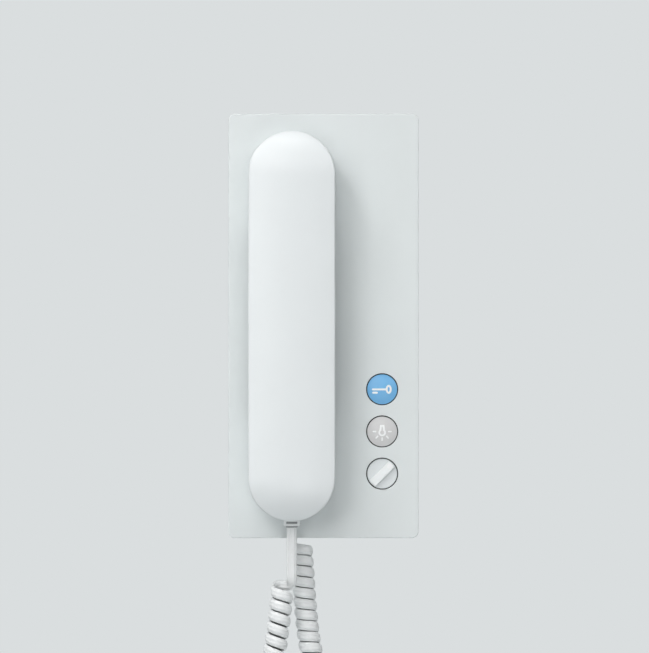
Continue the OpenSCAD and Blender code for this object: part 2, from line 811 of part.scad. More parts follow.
// Side outline of the rear shell, pushed out across the handset: a cup at each end and a raised grip between
module side_outline(back, grip, turn, front) {
    far = handset_h;
    low = cup_z + turn;
    high = low - slope_len;
    translate([-handset_w, 0, 0]) rotate([90, 0, 90]) linear_extrude(2 * handset_w)
        polygon([[-far, front], [-far, back], [-low, back], [-high, grip],
            [high, grip], [low, back], [far, back], [far, front]]);
}

module handset_rear_shell() {
    color("white") on_wall() difference() {
        translate([handset_x, 0, 0]) difference() {
            intersection() {
                translate([0, 0, cup_back - past]) linear_extrude(shell_joint - cup_back + past)
                    stadium(end_r);
                side_outline(cup_back, grip_back, 0, shell_joint);
            }
            intersection() {
                translate([0, 0, cup_back]) linear_extrude(shell_joint) stadium(shell_inside_r);
                side_outline(cup_floor, grip_floor, slope_turn, shell_joint + past);
            }
            rod(0, end_z, sound_hole_r, cup_back - past, cup_floor + past);
            for (a = [0:60:300]) {
                rod(sound_ring_r * cos(a), end_z + sound_ring_r * sin(a), sound_hole_r,
                    cup_back - past, cup_floor + past);
            }
            for (a = [30:120:270]) {
                rod(mouth_ring_r * cos(a), -end_z + mouth_ring_r * sin(a), mouth_hole_r,
                    cup_back - past, cup_floor + past);
            }
            for (y = [-1, 1]) {
                rod(0, y * shell_screw_z, thread_r + bore_gap, grip_back - past, grip_floor + past);
                rod(0, y * shell_screw_z, head_r + slip, grip_back - past, grip_back + shell_head_t);
            }
            block(0, -handset_h / 2, socket_mouth_w, 2 * (handset_h / 2 + handset_socket_end),
                handset_plug_depth - socket_mouth_t / 2, handset_plug_depth + socket_mouth_t / 2);
        }
        tongue(tongue_gap, tongue_len, tongue_len + tongue_gap);
    }
}

module shell_screws() {
    color("silver") on_handset() for (y = [-1, 1]) {
        rod(0, y * shell_screw_z, head_r, grip_back + bore_gap, grip_back + shell_head_t);
        rod(0, y * shell_screw_z, thread_r, grip_back + shell_head_t, grip_floor + shell_screw_len - slip);
    }
}

module ear_receiver() {
    front = cup_floor + gasket_t;
    color("dimgray") on_handset() union() {
        rod(0, end_z, receiver_r, front, front + receiver_frame_t);
        rod(0, end_z, receiver_magnet_r, front, receiver_back);
    }
}

module receiver_gasket() {
    color("black") on_handset() difference() {
        rod(0, end_z, receiver_r, cup_floor, cup_floor + gasket_t);
        rod(0, end_z, receiver_r - gasket_w, cup_floor - past, cup_floor + gasket_t + past);
    }
}

module microphone() {
    color("silver") on_handset() rod(0, -end_z, microphone_r, cup_floor + boot_floor, microphone_back);
}

module microphone_boot() {
    inside = microphone_r + bore_gap;
    color("black") on_handset() difference() {
        rod(0, -end_z, inside + boot_wall, cup_floor, microphone_back - boot_floor);
        rod(0, -end_z, inside, cup_floor + boot_floor, microphone_back);
        rod(0, -end_z, boot_hole_r, cup_floor - past, cup_floor + boot_floor + past);
    }
}

module handset_socket() {
    color("dimgray") on_handset() difference() {
        block(0, handset_socket_end + handset_socket_len / 2, socket_w, handset_socket_len,
            cup_floor, handset_plug_depth + plug_t / 2 + slip + socket_wall);
        block(0, handset_plug_end, socket_mouth_w, 2 * (plug_len + slip),
            handset_plug_depth - socket_mouth_t / 2, handset_plug_depth + socket_mouth_t / 2);
    }
}

module handset_weight() {
    color("slategray") on_handset() block(0, 0, weight_w, weight_h, grip_floor, grip_floor + weight_t);
}

module receiver_lead() {
    color("firebrick") on_handset()
        loft(tube_rings(lead_stops(receiver_route), lead_section, thin_lead_d, thin_lead_d));
}

module microphone_lead() {
    color("goldenrod") on_handset()
        loft(tube_rings(lead_stops(microphone_route), lead_section, thin_lead_d, thin_lead_d));
}

base_plate();
front_cover();
cover_screws();
main_board();
board_screws();
terminal_block();
terminal_screws();
ringer();
line_transformer();
capacitors();
chips();
door_switch();
light_switch();
volume_potentiometer();
hook_switch();
hook_pin();
hook_spring();
base_socket();
base_plug();
curly_cord();
door_button();
door_plunger();
light_button();
light_plunger();
volume_knob();
potentiometer_shaft();
hook_lever();
handset_front_shell();
handset_rear_shell();
shell_screws();
ear_receiver();
receiver_gasket();
microphone();
microphone_boot();
handset_socket();
handset_weight();
receiver_lead();
microphone_lead();
handset_plug();
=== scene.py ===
import math

import bmesh
import bpy
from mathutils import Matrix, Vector
from mathutils.geometry import delaunay_2d_cdt


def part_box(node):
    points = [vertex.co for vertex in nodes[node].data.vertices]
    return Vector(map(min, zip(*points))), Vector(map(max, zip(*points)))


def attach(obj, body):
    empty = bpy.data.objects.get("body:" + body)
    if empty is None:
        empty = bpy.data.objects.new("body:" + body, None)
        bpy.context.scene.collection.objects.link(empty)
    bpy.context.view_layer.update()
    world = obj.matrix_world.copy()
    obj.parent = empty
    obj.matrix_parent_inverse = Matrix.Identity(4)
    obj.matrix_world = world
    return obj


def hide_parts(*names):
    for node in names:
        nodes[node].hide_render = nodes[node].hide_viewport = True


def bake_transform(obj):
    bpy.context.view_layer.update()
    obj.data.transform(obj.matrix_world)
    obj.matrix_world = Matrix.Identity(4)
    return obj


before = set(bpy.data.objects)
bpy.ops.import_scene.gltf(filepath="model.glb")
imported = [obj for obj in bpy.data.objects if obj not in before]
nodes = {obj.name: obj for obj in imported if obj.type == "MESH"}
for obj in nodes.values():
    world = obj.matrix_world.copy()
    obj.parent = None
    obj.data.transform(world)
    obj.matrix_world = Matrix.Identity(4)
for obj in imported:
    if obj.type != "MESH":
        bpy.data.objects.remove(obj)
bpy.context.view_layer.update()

# Back plate. A flat white moulding that two screws hold to the wall, with posts for the board and two
# ears for the hook lever's pin. Its solid has its true shape, so it only gets its finish: plastic from
# an eroded mould, with a fine matt grain, and tone and gloss that drift a little from place to place.
MM = 0.001
# Drifts of tone and of gloss to a metre of plastic, and how far its gloss drifts
TONE_DRIFTS = 45
GLOSS_DRIFTS = 160
GLOSS_CHANGE = 0.2
COAT_ROUGHNESS = 0.12
NOISE_MIDDLE = 0.5


def linear(red, green, blue):
    """A colour in screen values from 0 to 255, as the linear values that a shader takes."""
    shares = [value / 255 for value in (red, green, blue)]
    return [s / 12.92 if s <= 0.04045 else ((s + 0.055) / 1.055) ** 2.4 for s in shares]


def feed(tree, node, inputs):
    """Sets a node's inputs by name or place: a value is written there, and sockets are linked to it."""
    for name, given in inputs.items():
        for source in given if isinstance(given, list) else [given]:
            if isinstance(source, bpy.types.NodeSocket):
                tree.links.new(source, node.inputs[name])
            else:
                node.inputs[name].default_value = source


def add_node(tree, kind, inputs=None, **settings):
    made = tree.nodes.new(kind)
    for name, value in settings.items():
        setattr(made, name, value)
    feed(tree, made, inputs or {})
    return made


def maths(tree, operation, *values):
    """The result of a sum on values and sockets, as a socket."""
    return add_node(tree, "ShaderNodeMath", dict(enumerate(values)), operation=operation).outputs[0]


def add_sockets(tree, in_out, **names):
    """Named inputs or outputs of a node group, by their kind."""
    for kind, group in names.items():
        for name in group:
            tree.interface.new_socket(name, in_out=in_out, socket_type="NodeSocket" + kind)


def make_moulded_surface():
    """Shader group: a fine grain as height, and slow drifts of tone and gloss over the piece."""
    tree = bpy.data.node_groups.new("moulded_surface", "ShaderNodeTree")
    amounts = ["Tone Drift", "Roughness", "Roughness Drift", "Grain Scale"]
    add_sockets(tree, "INPUT", Color=["Colour"], Float=amounts)
    add_sockets(tree, "OUTPUT", Color=["Colour"], Float=["Roughness", "Height"])
    given = add_node(tree, "NodeGroupInput").outputs
    place = add_node(tree, "ShaderNodeTexCoord").outputs["Object"]

    def noise(scale, detail):
        inputs = {"Vector": place, "Scale": scale, "Detail": detail}
        return add_node(tree, "ShaderNodeTexNoise", inputs).outputs[0]

    def drifting(pattern, amount, middle):
        return maths(tree, "MULTIPLY_ADD", maths(tree, "SUBTRACT", pattern, NOISE_MIDDLE), amount, middle)

    tone = drifting(noise(TONE_DRIFTS, 3), given["Tone Drift"], 1)
    gloss = drifting(noise(GLOSS_DRIFTS, 4), given["Roughness Drift"], given["Roughness"])
    tinted = add_node(tree, "ShaderNodeVectorMath", {0: given["Colour"], "Scale": tone}, operation="SCALE")
    made = {"Colour": tinted.outputs[0], "Roughness": gloss, "Height": noise(given["Grain Scale"], 2)}
    add_node(tree, "NodeGroupOutput", made)
    return tree


moulded_surface = make_moulded_surface()


def moulded(name, colour, roughness, grain=0.4, relief=0.006, drift=0.05, metallic=0.0, coat=0.0):
    """A material with the moulded surface: grain is its size and relief its depth, in millimetres."""
    material = bpy.data.materials.new(name)
    material.use_nodes = True
    tree = material.node_tree
    finish = {"Colour": (*colour, 1), "Tone Drift": drift, "Grain Scale": 1 / (grain * MM)}
    finish.update({"Roughness": roughness, "Roughness Drift": GLOSS_CHANGE})
    surface = add_node(tree, "ShaderNodeGroup", finish, node_tree=moulded_surface).outputs
    bump = add_node(tree, "ShaderNodeBump", {"Height": surface["Height"], "Distance": relief * MM})
    feed(tree, tree.nodes["Principled BSDF"], {
        "Base Color": surface["Colour"],
        "Roughness": surface["Roughness"],
        "Normal": bump.outputs["Normal"],
        "Metallic": metallic,
        "Coat Weight": coat,
        "Coat Roughness": COAT_ROUGHNESS,
    })
    return material


def dress(material, *names):
    """Gives solids of the frame their finish."""
    for name in names:
        nodes[name].data.materials.clear()
        nodes[name].data.materials.append(material)


BASE_WHITE = linear(226, 231, 231)
base_matt = moulded("base_plastic_matt", BASE_WHITE, 0.55, grain=0.5, relief=0.012)
dress(base_matt, "base_plate")

# Circuit board and what stands on it. A green lacquered board with copper tracks under the lacquer,
# screwed to the back plate. Its switches, ringer, transformer, capacitors, chips, terminals and the
# socket for the cord are soldered on. The solids have their true shapes and get their finishes.
TRACKS_PER_METRE = 120
TRACK_GAP = 0.025
TRACK_OFFSET = 0.35
TRACK_RELIEF = 0.03


def opened(material):
    """A moulded material's tree, shader, surface and bump, for a finish that adds to them."""
    tree = material.node_tree
    found = {node.type: node for node in tree.nodes}
    return tree, found["BSDF_PRINCIPLED"], found["GROUP"].outputs, found["BUMP"]


def make_board_lacquer():
    """Green solder mask over rows of copper tracks that show through as paler raised lines."""
    material = moulded("board_lacquer", linear(22, 88, 52), 0.3, grain=0.25, relief=0.004, drift=0.25)
    tree, shader, surface, bump = opened(material)
    place = add_node(tree, "ShaderNodeTexCoord").outputs["Object"]
    upright = {"Vector": place, "Rotation": (math.radians(90), 0, 0)}
    rows = {"Vector": add_node(tree, "ShaderNodeMapping", upright).outputs["Vector"]}
    rows.update({"Scale": TRACKS_PER_METRE, "Mortar Size": TRACK_GAP})
    rows.update({"Color1": (0, 0, 0, 1), "Color2": (0, 0, 0, 1), "Mortar": (1, 1, 1, 1)})
    tracks = add_node(tree, "ShaderNodeTexBrick", rows, offset=TRACK_OFFSET).outputs["Color"]
    tones = {"Factor": tracks, "A": surface["Colour"], "B": (*linear(58, 132, 74), 1)}
    paler = add_node(tree, "ShaderNodeMix", tones, data_type="RGBA")
    feed(tree, shader, {"Base Color": paler.outputs["Result"]})
    feed(tree, bump, {"Height": tracks, "Distance": TRACK_RELIEF * MM})
    return material


dress(make_board_lacquer(), "main_board")
black_moulding = moulded("black_moulding", linear(34, 35, 36), 0.42, grain=0.3, relief=0.008, drift=0.2)
dress(black_moulding, "ringer", "chips", "base_socket", "handset_socket", "hook_switch")
dress(black_moulding, "door_switch", "light_switch", "volume_potentiometer")
dress(moulded("terminal_green", linear(38, 96, 62), 0.4, drift=0.15), "terminal_block")
core_steel = moulded("transformer_steel", linear(122, 112, 100), 0.45, grain=0.6, metallic=0.7)
dress(core_steel, "line_transformer")
dress(moulded("capacitor_sleeve", linear(28, 34, 66), 0.28, drift=0.15), "capacitors")
switch_brass = moulded("switch_brass", linear(196, 164, 96), 0.32, grain=0.2, metallic=1.0, drift=0.15)
dress(switch_brass, "door_plunger", "light_plunger")
plated_steel = moulded(
    "plated_steel", linear(190, 192, 194), 0.3, grain=0.25, relief=0.004, metallic=1.0, drift=0.15)
dress(plated_steel, "hook_pin", "potentiometer_shaft")

# Screws. Four hold the cover from behind, four the board, two the handset's shells, and five clamp the
# line in its terminals. They are pan heads in plated steel with a cross recess, all made by one tree
# that puts a screw at each point of a mesh, with the middle of its head's top at the point.

# Shares of the head's radius and height: its flat top and where that starts, the cross recess, and the
# end of the shank inside it
HEAD_TOP = 0.72
HEAD_TOP_ABOVE = 0.25
RECESS_LONG, RECESS_WIDE, RECESS_DEEP = 1.05, 0.26, 1.3
SHANK_IN_HEAD = 0.4
HEAD_POINTS, SHANK_POINTS = 40, 24
STEEL_SHARP = 35
FROM_BEHIND = (math.radians(-90), 0, 0)
FROM_THE_FRONT = (math.radians(90), 0, 0)


def place_in_steel(tree, given, mesh, facing):
    """Ends a geometry tree: its mesh turned and put at each point, as real faces in their material."""
    spots = {"Points": given["Points"], "Instance": mesh, "Rotation": facing}
    placed = add_node(tree, "GeometryNodeInstanceOnPoints", spots).outputs[0]
    real = add_node(tree, "GeometryNodeRealizeInstances", {0: placed}).outputs[0]
    steel = add_node(tree, "GeometryNodeSetMaterial", {"Geometry": real, "Material": given["Steel"]})
    add_node(tree, "NodeGroupOutput", {0: steel.outputs[0]})


def make_screw_tree():
    """A head whose top is drawn in, joined to a shank and cut by two crossed blades."""
    tree = bpy.data.node_groups.new("pan_head_screws", "GeometryNodeTree")
    lengths = ["Head Radius", "Head Height", "Shank Radius", "Shank Length"]
    add_sockets(tree, "INPUT", Geometry=["Points"], Float=lengths, Vector=["Facing"], Material=["Steel"])
    add_sockets(tree, "OUTPUT", Geometry=["Screws"])
    given = add_node(tree, "NodeGroupInput").outputs
    head_r, head_t, shank_r, shank_len = [given[name] for name in lengths]

    def share(length, part):
        return maths(tree, "MULTIPLY", length, part)

    def turned_bar(vertices, segments, radius, depth):
        inputs = {"Vertices": vertices, "Side Segments": segments, "Radius": radius, "Depth": depth}
        return add_node(tree, "GeometryNodeMeshCylinder", inputs).outputs["Mesh"]

    def shifted(mesh, along):
        offset = add_node(tree, "ShaderNodeCombineXYZ", {"Z": along}).outputs[0]
        return add_node(tree, "GeometryNodeTransform", {"Geometry": mesh, "Translation": offset}).outputs[0]

    place = add_node(tree, "GeometryNodeInputPosition").outputs[0]
    height = add_node(tree, "ShaderNodeSeparateXYZ", {0: place}).outputs["Z"]
    narrower = {0: place, 1: (HEAD_TOP, HEAD_TOP, 1)}
    domed = add_node(tree, "GeometryNodeSetPosition", {
        "Geometry": turned_bar(HEAD_POINTS, 2, head_r, head_t),
        "Selection": maths(tree, "GREATER_THAN", height, share(head_t, HEAD_TOP_ABOVE)),
        "Position": add_node(tree, "ShaderNodeVectorMath", narrower, operation="MULTIPLY").outputs[0],
    }).outputs["Geometry"]
    shank_depth = maths(tree, "ADD", shank_len, share(head_t, SHANK_IN_HEAD))
    shank = turned_bar(SHANK_POINTS, 1, shank_r, shank_depth)
    shank_middle = maths(tree, "ADD", share(head_t, SHANK_IN_HEAD / 2 - 1), share(shank_len, -0.5))
    joined = {1: [shifted(domed, share(head_t, -0.5)), shifted(shank, shank_middle)]}
    whole = add_node(tree, "GeometryNodeMeshBoolean", joined, operation="UNION", solver="EXACT")
    blade_size = add_node(tree, "ShaderNodeCombineXYZ", {
        "X": share(head_r, RECESS_LONG),
        "Y": share(head_r, RECESS_WIDE),
        "Z": share(head_t, RECESS_DEEP),
    }).outputs[0]
    blade = add_node(tree, "GeometryNodeMeshCube", {"Size": blade_size}).outputs["Mesh"]
    crossways = {"Geometry": blade, "Rotation": (0, 0, math.radians(90))}
    crossed = add_node(tree, "GeometryNodeTransform", crossways).outputs[0]
    cut = {0: whole.outputs["Mesh"], 1: [blade, crossed]}
    recessed = add_node(tree, "GeometryNodeMeshBoolean", cut, operation="DIFFERENCE", solver="EXACT")
    place_in_steel(tree, given, recessed.outputs["Mesh"], given["Facing"])
    return tree


def add_object(name, data):
    made = bpy.data.objects.new(name, data)
    bpy.context.scene.collection.objects.link(made)
    return made


def plain_mesh(piece):
    """What an object's modifiers or its curve make, as a mesh."""
    graph = bpy.context.evaluated_depsgraph_get()
    return bpy.data.meshes.new_from_object(piece.evaluated_get(graph))


def grown(name, points, tree, **sizes):
    """An object whose points a geometry tree has turned into a plain mesh."""
    mesh = bpy.data.meshes.new(name)
    mesh.from_pydata(points, [], [])
    piece = add_object(name, mesh)
    modifier = piece.modifiers.new(name, "NODES")
    modifier.node_group = tree
    for item in tree.interface.items_tree:
        if item.in_out == "INPUT" and item.name in sizes:
            modifier[item.identifier] = sizes[item.name]
    piece.data = plain_mesh(piece)
    piece.modifiers.clear()
    piece.data.set_sharp_from_angle(angle=math.radians(STEEL_SHARP))
    return piece


screw_tree = make_screw_tree()


def screws(name, node, body, facing, columns, rows, head_r=2.6, head_t=1.4, shank_r=1.4):
    """Screws in place of a group of solids: their middles lie in columns and rows over the group's box."""
    head_r, head_t, shank_r = head_r * MM, head_t * MM, shank_r * MM
    low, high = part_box(node)
    top = high.y if facing == FROM_BEHIND else low.y
    across = [low.x + head_r, high.x - head_r] if columns == 2 else [(low.x + high.x) / 2]
    step = (high.z - low.z - 2 * head_r) / (rows - 1)
    points = [(x, top, low.z + head_r + i * step) for x in across for i in range(rows)]
    sizes = {"Head Radius": head_r, "Head Height": head_t, "Shank Radius": shank_r, "Facing": facing}
    sizes["Shank Length"] = high.y - low.y - head_t
    made = grown(name, points, screw_tree, Steel=plated_steel, **sizes)
    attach(made, body)
    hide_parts(node)


screws("cover_screw_set", "cover_screws", "base", FROM_BEHIND, columns=2, rows=2)
screws("board_screw_set", "board_screws", "base", FROM_THE_FRONT, columns=2, rows=2)
screws("terminal_screw_set", "terminal_screws", "base", FROM_THE_FRONT, columns=1, rows=5,
       head_r=1.4, head_t=0.8, shank_r=0.9)
screws("shell_screw_set", "shell_screws", "handset", FROM_BEHIND, columns=1, rows=2, head_t=1.0)

# Front cover. A shallow tray in matt white plastic that hides the board, with softened edges, round
# holes for the buttons and the knob, a slot for the hook lever's nub, a tongue that the handset hangs
# on, and an opening in its lower wall for the cord's plug. It is drawn as rings of points and filled.
COVER_FRONT = 16.0
COVER_RIM = 0.4
COVER_WALL = 2.0
COVER_EDGE = 0.35
COVER_CORNER = 3.0
CONTROL_HOLE_R = 7.6
HOLE_EDGE = 0.2
SLOT_CORNER = 0.6
PLUG_ROOM = 0.3
NUB_ROOM = 0.3
NUB_TRAVEL = 4.0
NUB_SIZE = 4.0
TONGUE_W = 12.0
TONGUE_T = 3.0
TONGUE_LEN = 6.5
TONGUE_ROUND = 0.7
TONGUE_ROOT = 50.0
TONGUE_RISE, TONGUE_OUT = 0.6, 0.8
# Fillet at the tongue's root: how far it spreads, and how far it stands off the cover
TONGUE_FILLET = ((0.6, 0.0), (0.35, 0.08), (0.12, 0.3), (0.0, 0.7))
LEAST_ROUND = 0.05
# Points that lie closer than this are one, in a piece and in a face that is filled
MERGE = 0.0005
FILL_MERGE = 1e-5
# Width of the flat strip beside each rounded edge, which keeps the shading of the flats even
FLAT_STRIP = 0.2


def at(x, up, depth):
    """A point in metres, from millimetres to the right, up and out from the wall."""
    return Vector((x, -depth, up)) * MM


def arc(x, up, r, start, end, steps):
    angles = [math.radians(start + (end - start) * i / steps) for i in range(steps + 1)]
    return [(x + r * math.cos(a), up + r * math.sin(a)) for a in angles]


def circle(x, up, r, steps=72):
    return arc(x, up, r, 0, 360, steps)[:-1]


CORNER_STEPS = 8


def rounded_rect(x, up, w, h, r, marks=()):
    """Points round a rectangle, from its lower left corner; marks are extra places on its lower edge."""
    left, right, low, high = x - w / 2 + r, x + w / 2 - r, up - h / 2 + r, up + h / 2 - r
    points = arc(left, low, r, 180, 270, CORNER_STEPS)
    points += [(mark, up - h / 2) for mark in marks]
    points += arc(right, low, r, 270, 360, CORNER_STEPS)
    points += arc(right, high, r, 0, 90, CORNER_STEPS)
    points += arc(left, high, r, 90, 180, CORNER_STEPS)
    return points


def ring(bm, points):
    return [bm.verts.new(at(*point)) for point in points]


def level_ring(bm, outline, depth):
    return ring(bm, [(x, up, depth) for x, up in outline])


def skin(bm, rings, gaps=()):
    """Faces between each ring and the next; gaps are (ring, point) places that stay open."""
    for i, (a, b) in enumerate(zip(rings, rings[1:])):
        count = len(a)
        for k in range(count):
            if (i, k) not in gaps:
                bm.faces.new((a[k], a[(k + 1) % count], b[(k + 1) % count], b[k]))


def inside(point, outline):
    within = False
    for a, b in zip(outline, outline[1:] + outline[:1]):
        if (a.y > point.y) != (b.y > point.y):
            if point.x < a.x + (point.y - a.y) * (b.x - a.x) / (b.y - a.y):
                within = not within
    return within


def fill(bm, outline, holes=(), ties=(), across="x", up="z"):
    """Triangles between an outline and its holes; ties are pairs of points that an edge has to join."""
    loops = [outline, *holes]
    verts = [v for loop in loops for v in loop]
    number = {v: i for i, v in enumerate(verts)}
    edges = [(number[a], number[b]) for loop in loops for a, b in zip(loop, loop[1:] + loop[:1])]
    edges += [(number[a], number[b]) for a, b in ties]
    flat = [Vector((getattr(v.co, across), getattr(v.co, up))) / MM for v in verts]
    bounds = [[flat[number[v]] for v in loop] for loop in loops]
    _, _, triangles, sources, _, _ = delaunay_2d_cdt(flat, edges, [], 0, FILL_MERGE)
    for triangle in triangles:
        corners = [sources[k][0] for k in triangle]
        middle = (flat[corners[0]] + flat[corners[1]] + flat[corners[2]]) / 3
        if inside(middle, bounds[0]) and not any(inside(middle, hole) for hole in bounds[1:]):
            bm.faces.new([verts[k] for k in corners])


def rounding(radius, steps=5):
    """Steps round a quarter turn from a side wall to a face: how far in, and how far below the face."""
    angles = [math.radians(90 * i / steps) for i in range(steps + 1)]
    return [(radius * (1 - math.cos(a)), radius * (1 - math.sin(a))) for a in angles]


def solid(name, bm, material, sharp=40):
    """A closed piece from a finished mesh, smooth except where it turns more than the sharp angle."""
    bmesh.ops.remove_doubles(bm, verts=bm.verts, dist=MERGE * MM)
    bmesh.ops.recalc_face_normals(bm, faces=bm.faces)
    mesh = bpy.data.meshes.new(name)
    bm.to_mesh(mesh)
    bm.free()
    mesh.shade_smooth()
    mesh.set_sharp_from_angle(angle=math.radians(sharp))
    mesh.materials.append(material)
    return add_object(name, mesh)


def box_mm(node):
    """A node's lowest and highest corners, in millimetres."""
    return [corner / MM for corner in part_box(node)]


def middle_of(node):
    """A node's middle as it is seen from the front."""
    low, high = box_mm(node)
    return (low.x + high.x) / 2, (low.z + high.z) / 2


cover_low, cover_high = box_mm("front_cover")
cover_w = cover_high.x - cover_low.x
cover_h = cover_high.z - cover_low.z
plug_low, plug_high = box_mm("base_plug")
handset_x = (plug_low.x + plug_high.x) / 2
plug_marks = (plug_low.x - PLUG_ROOM, plug_high.x + PLUG_ROOM)
plug_levels = (-plug_high.y - PLUG_ROOM, -plug_low.y + PLUG_ROOM)
nub_low, nub_high = box_mm("hook_lever")
nub_slot_w = nub_high.x - nub_low.x + 2 * NUB_ROOM
nub_slot_h = NUB_SIZE + NUB_TRAVEL + 2 * NUB_ROOM
nub_middle = nub_high.z - (NUB_SIZE + NUB_TRAVEL) / 2


def cover_outline(inset):
    return rounded_rect(0, 0, cover_w - 2 * inset, cover_h - 2 * inset, COVER_CORNER - inset, plug_marks)


def soft_mouth():
    """Steps from a face over a hole's softened edge: how far the hole is grown, and how far in."""
    return [(HOLE_EDGE + FLAT_STRIP, 0), *reversed(rounding(HOLE_EDGE, steps=3))]


def hole_rings(bm, outline):
    """Rings of a hole in the cover from its front to its inside; outline gives the hole grown by a gap."""
    rings = [level_ring(bm, outline(grow), COVER_FRONT - deep) for grow, deep in soft_mouth()]
    return rings + [level_ring(bm, outline(0), COVER_FRONT - COVER_WALL)]


def control_hole(grow, node):
    return circle(*middle_of(node), CONTROL_HOLE_R + grow)


def nub_slot(grow):
    w, h = nub_slot_w + 2 * grow, nub_slot_h + 2 * grow
    return rounded_rect(handset_x, nub_middle, w, h, SLOT_CORNER + grow)


def tongue_rings(bm):
    """The tongue slants up and out: its first rings lie on the cover's face, its last close the tip."""

    def section(inset):
        r = max(TONGUE_ROUND - max(inset, 0), LEAST_ROUND)
        return rounded_rect(0, 0, TONGUE_W - 2 * inset, TONGUE_T - 2 * inset, r)

    def placed(across, thick, along):
        up = TONGUE_ROOT + TONGUE_RISE * along + TONGUE_OUT * thick
        return (handset_x + across, up, COVER_FRONT + TONGUE_OUT * along - TONGUE_RISE * thick)

    rings = []
    for grow, above in TONGUE_FILLET:
        points = [(a, b, (above + TONGUE_RISE * b) / TONGUE_OUT) for a, b in section(-grow)]
        rings.append(ring(bm, [placed(*point) for point in points]))
    for inset, below in rounding(TONGUE_ROUND - 2 * LEAST_ROUND):
        rings.append(ring(bm, [placed(a, b, TONGUE_LEN - below) for a, b in section(inset)]))
    return rings


bm = bmesh.new()
wall_levels = (COVER_RIM, *plug_levels)
outer_steps = [(0, depth) for depth in wall_levels]
outer_steps += [(inset, COVER_FRONT - below) for inset, below in rounding(COVER_EDGE)]
outer_steps += [(COVER_EDGE + FLAT_STRIP, COVER_FRONT)]
inner_steps = [(COVER_WALL, depth) for depth in (*wall_levels, COVER_FRONT - COVER_WALL)]
cover_outer = [level_ring(bm, cover_outline(inset), depth) for inset, depth in outer_steps]
cover_inner = [level_ring(bm, cover_outline(inset), depth) for inset, depth in inner_steps]
plug_point = CORNER_STEPS + 1


def opening(rings, level, point):
    """Corners of the place that stays open between two rings and two of their points."""
    a, b = rings[level], rings[level + 1]
    return [a[point], a[point + 1], b[point + 1], b[point]]


for rings in (cover_outer, cover_inner):
    skin(bm, rings, gaps=[(1, plug_point)])
skin(bm, [cover_outer[0], cover_inner[0]])
plug_mouth = [opening(rings, 1, plug_point) for rings in (cover_outer, cover_inner)]
skin(bm, plug_mouth)
cover_holes = [
    hole_rings(bm, lambda grow: control_hole(grow, node))
    for node in ("door_button", "light_button", "volume_knob")
]
cover_holes.append(hole_rings(bm, nub_slot))
for rings in cover_holes:
    skin(bm, rings)
tongue = tongue_rings(bm)
skin(bm, tongue)
bm.faces.new(tongue[-1])
fill(bm, cover_outer[-1], [rings[0] for rings in cover_holes] + [tongue[0]])
fill(bm, cover_inner[-1], [rings[-1] for rings in cover_holes])
cover = solid("cover_tray", bm, base_matt)
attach(cover, "base")
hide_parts("front_cover")

# Hook lever. A white moulded arm that turns on a steel pin under the cover. Its nub comes out through
# the cover's slot when the handset is lifted, pushed by a small coil spring of steel wire.
LEVER_T = 2.0
LEVER_BOSS_R = 2.6
LEVER_EDGE = 0.3
LEVER_EDGE_ANGLE = 50
NUB_ROUND = 1.2
PIN_R = 1.1
PIN_UP, PIN_DEPTH = 40.0, 9.5


def lever_outline():
    """Side of the lever as (up, depth) points: round at its pin, straight, and a round-topped nub."""
    back, front = PIN_DEPTH - LEVER_T / 2, PIN_DEPTH + LEVER_T / 2
    end, nub_start = nub_high.z, nub_high.z - NUB_SIZE
    nub_middle_depth = -nub_low.y - NUB_ROUND
    turn = math.degrees(math.asin(LEVER_T / 2 / LEVER_BOSS_R))
    points = arc(PIN_UP, PIN_DEPTH, LEVER_BOSS_R, turn, 360 - turn, steps=24)
    points += [(end, back)]
    points += arc(end - NUB_ROUND, nub_middle_depth, NUB_ROUND, 0, 90, steps=6)
    points += arc(nub_start + NUB_ROUND, nub_middle_depth, NUB_ROUND, 90, 180, steps=6)
    points += [(nub_start, front)]
    return points


bm = bmesh.new()
lever_side = lever_outline()
pin_bore = circle(PIN_UP, PIN_DEPTH, PIN_R, steps=32)
lever_rings = []
bore_rings = []
for x in (nub_low.x, nub_high.x):
    lever_rings.append(ring(bm, [(x, up, depth) for up, depth in lever_side]))
    bore_rings.append(ring(bm, [(x, up, depth) for up, depth in pin_bore]))
    fill(bm, lever_rings[-1], [bore_rings[-1]], across="y")
skin(bm, lever_rings)
skin(bm, bore_rings)
lever = solid("hook_arm", bm, base_matt)
lever_edges = lever.modifiers.new("soft_edges", "BEVEL")
lever_edges.width = LEVER_EDGE * MM
lever_edges.segments = 3
lever_edges.limit_method = "ANGLE"
lever_edges.angle_limit = math.radians(LEVER_EDGE_ANGLE)
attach(lever, "hook_lever")
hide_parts("hook_lever")


def make_spring_tree():
    tree = bpy.data.node_groups.new("coil_spring", "GeometryNodeTree")
    lengths = ["Turns", "Radius", "Height", "Wire"]
    add_sockets(tree, "INPUT", Geometry=["Points"], Float=lengths, Material=["Steel"])
    add_sockets(tree, "OUTPUT", Geometry=["Spring"])
    given = add_node(tree, "NodeGroupInput").outputs
    line = {"Rotations": given["Turns"], "Height": given["Height"], "Resolution": 24}
    line.update({"Start Radius": given["Radius"], "End Radius": given["Radius"]})
    coil = add_node(tree, "GeometryNodeCurveSpiral", line).outputs[0]
    section = {"Radius": given["Wire"], "Resolution": 10}
    wire = add_node(tree, "GeometryNodeCurvePrimitiveCircle", section).outputs[0]
    sweep = {"Curve": coil, "Profile Curve": wire, "Fill Caps": True}
    swept = add_node(tree, "GeometryNodeCurveToMesh", sweep).outputs[0]
    place_in_steel(tree, given, swept, FROM_THE_FRONT)
    return tree


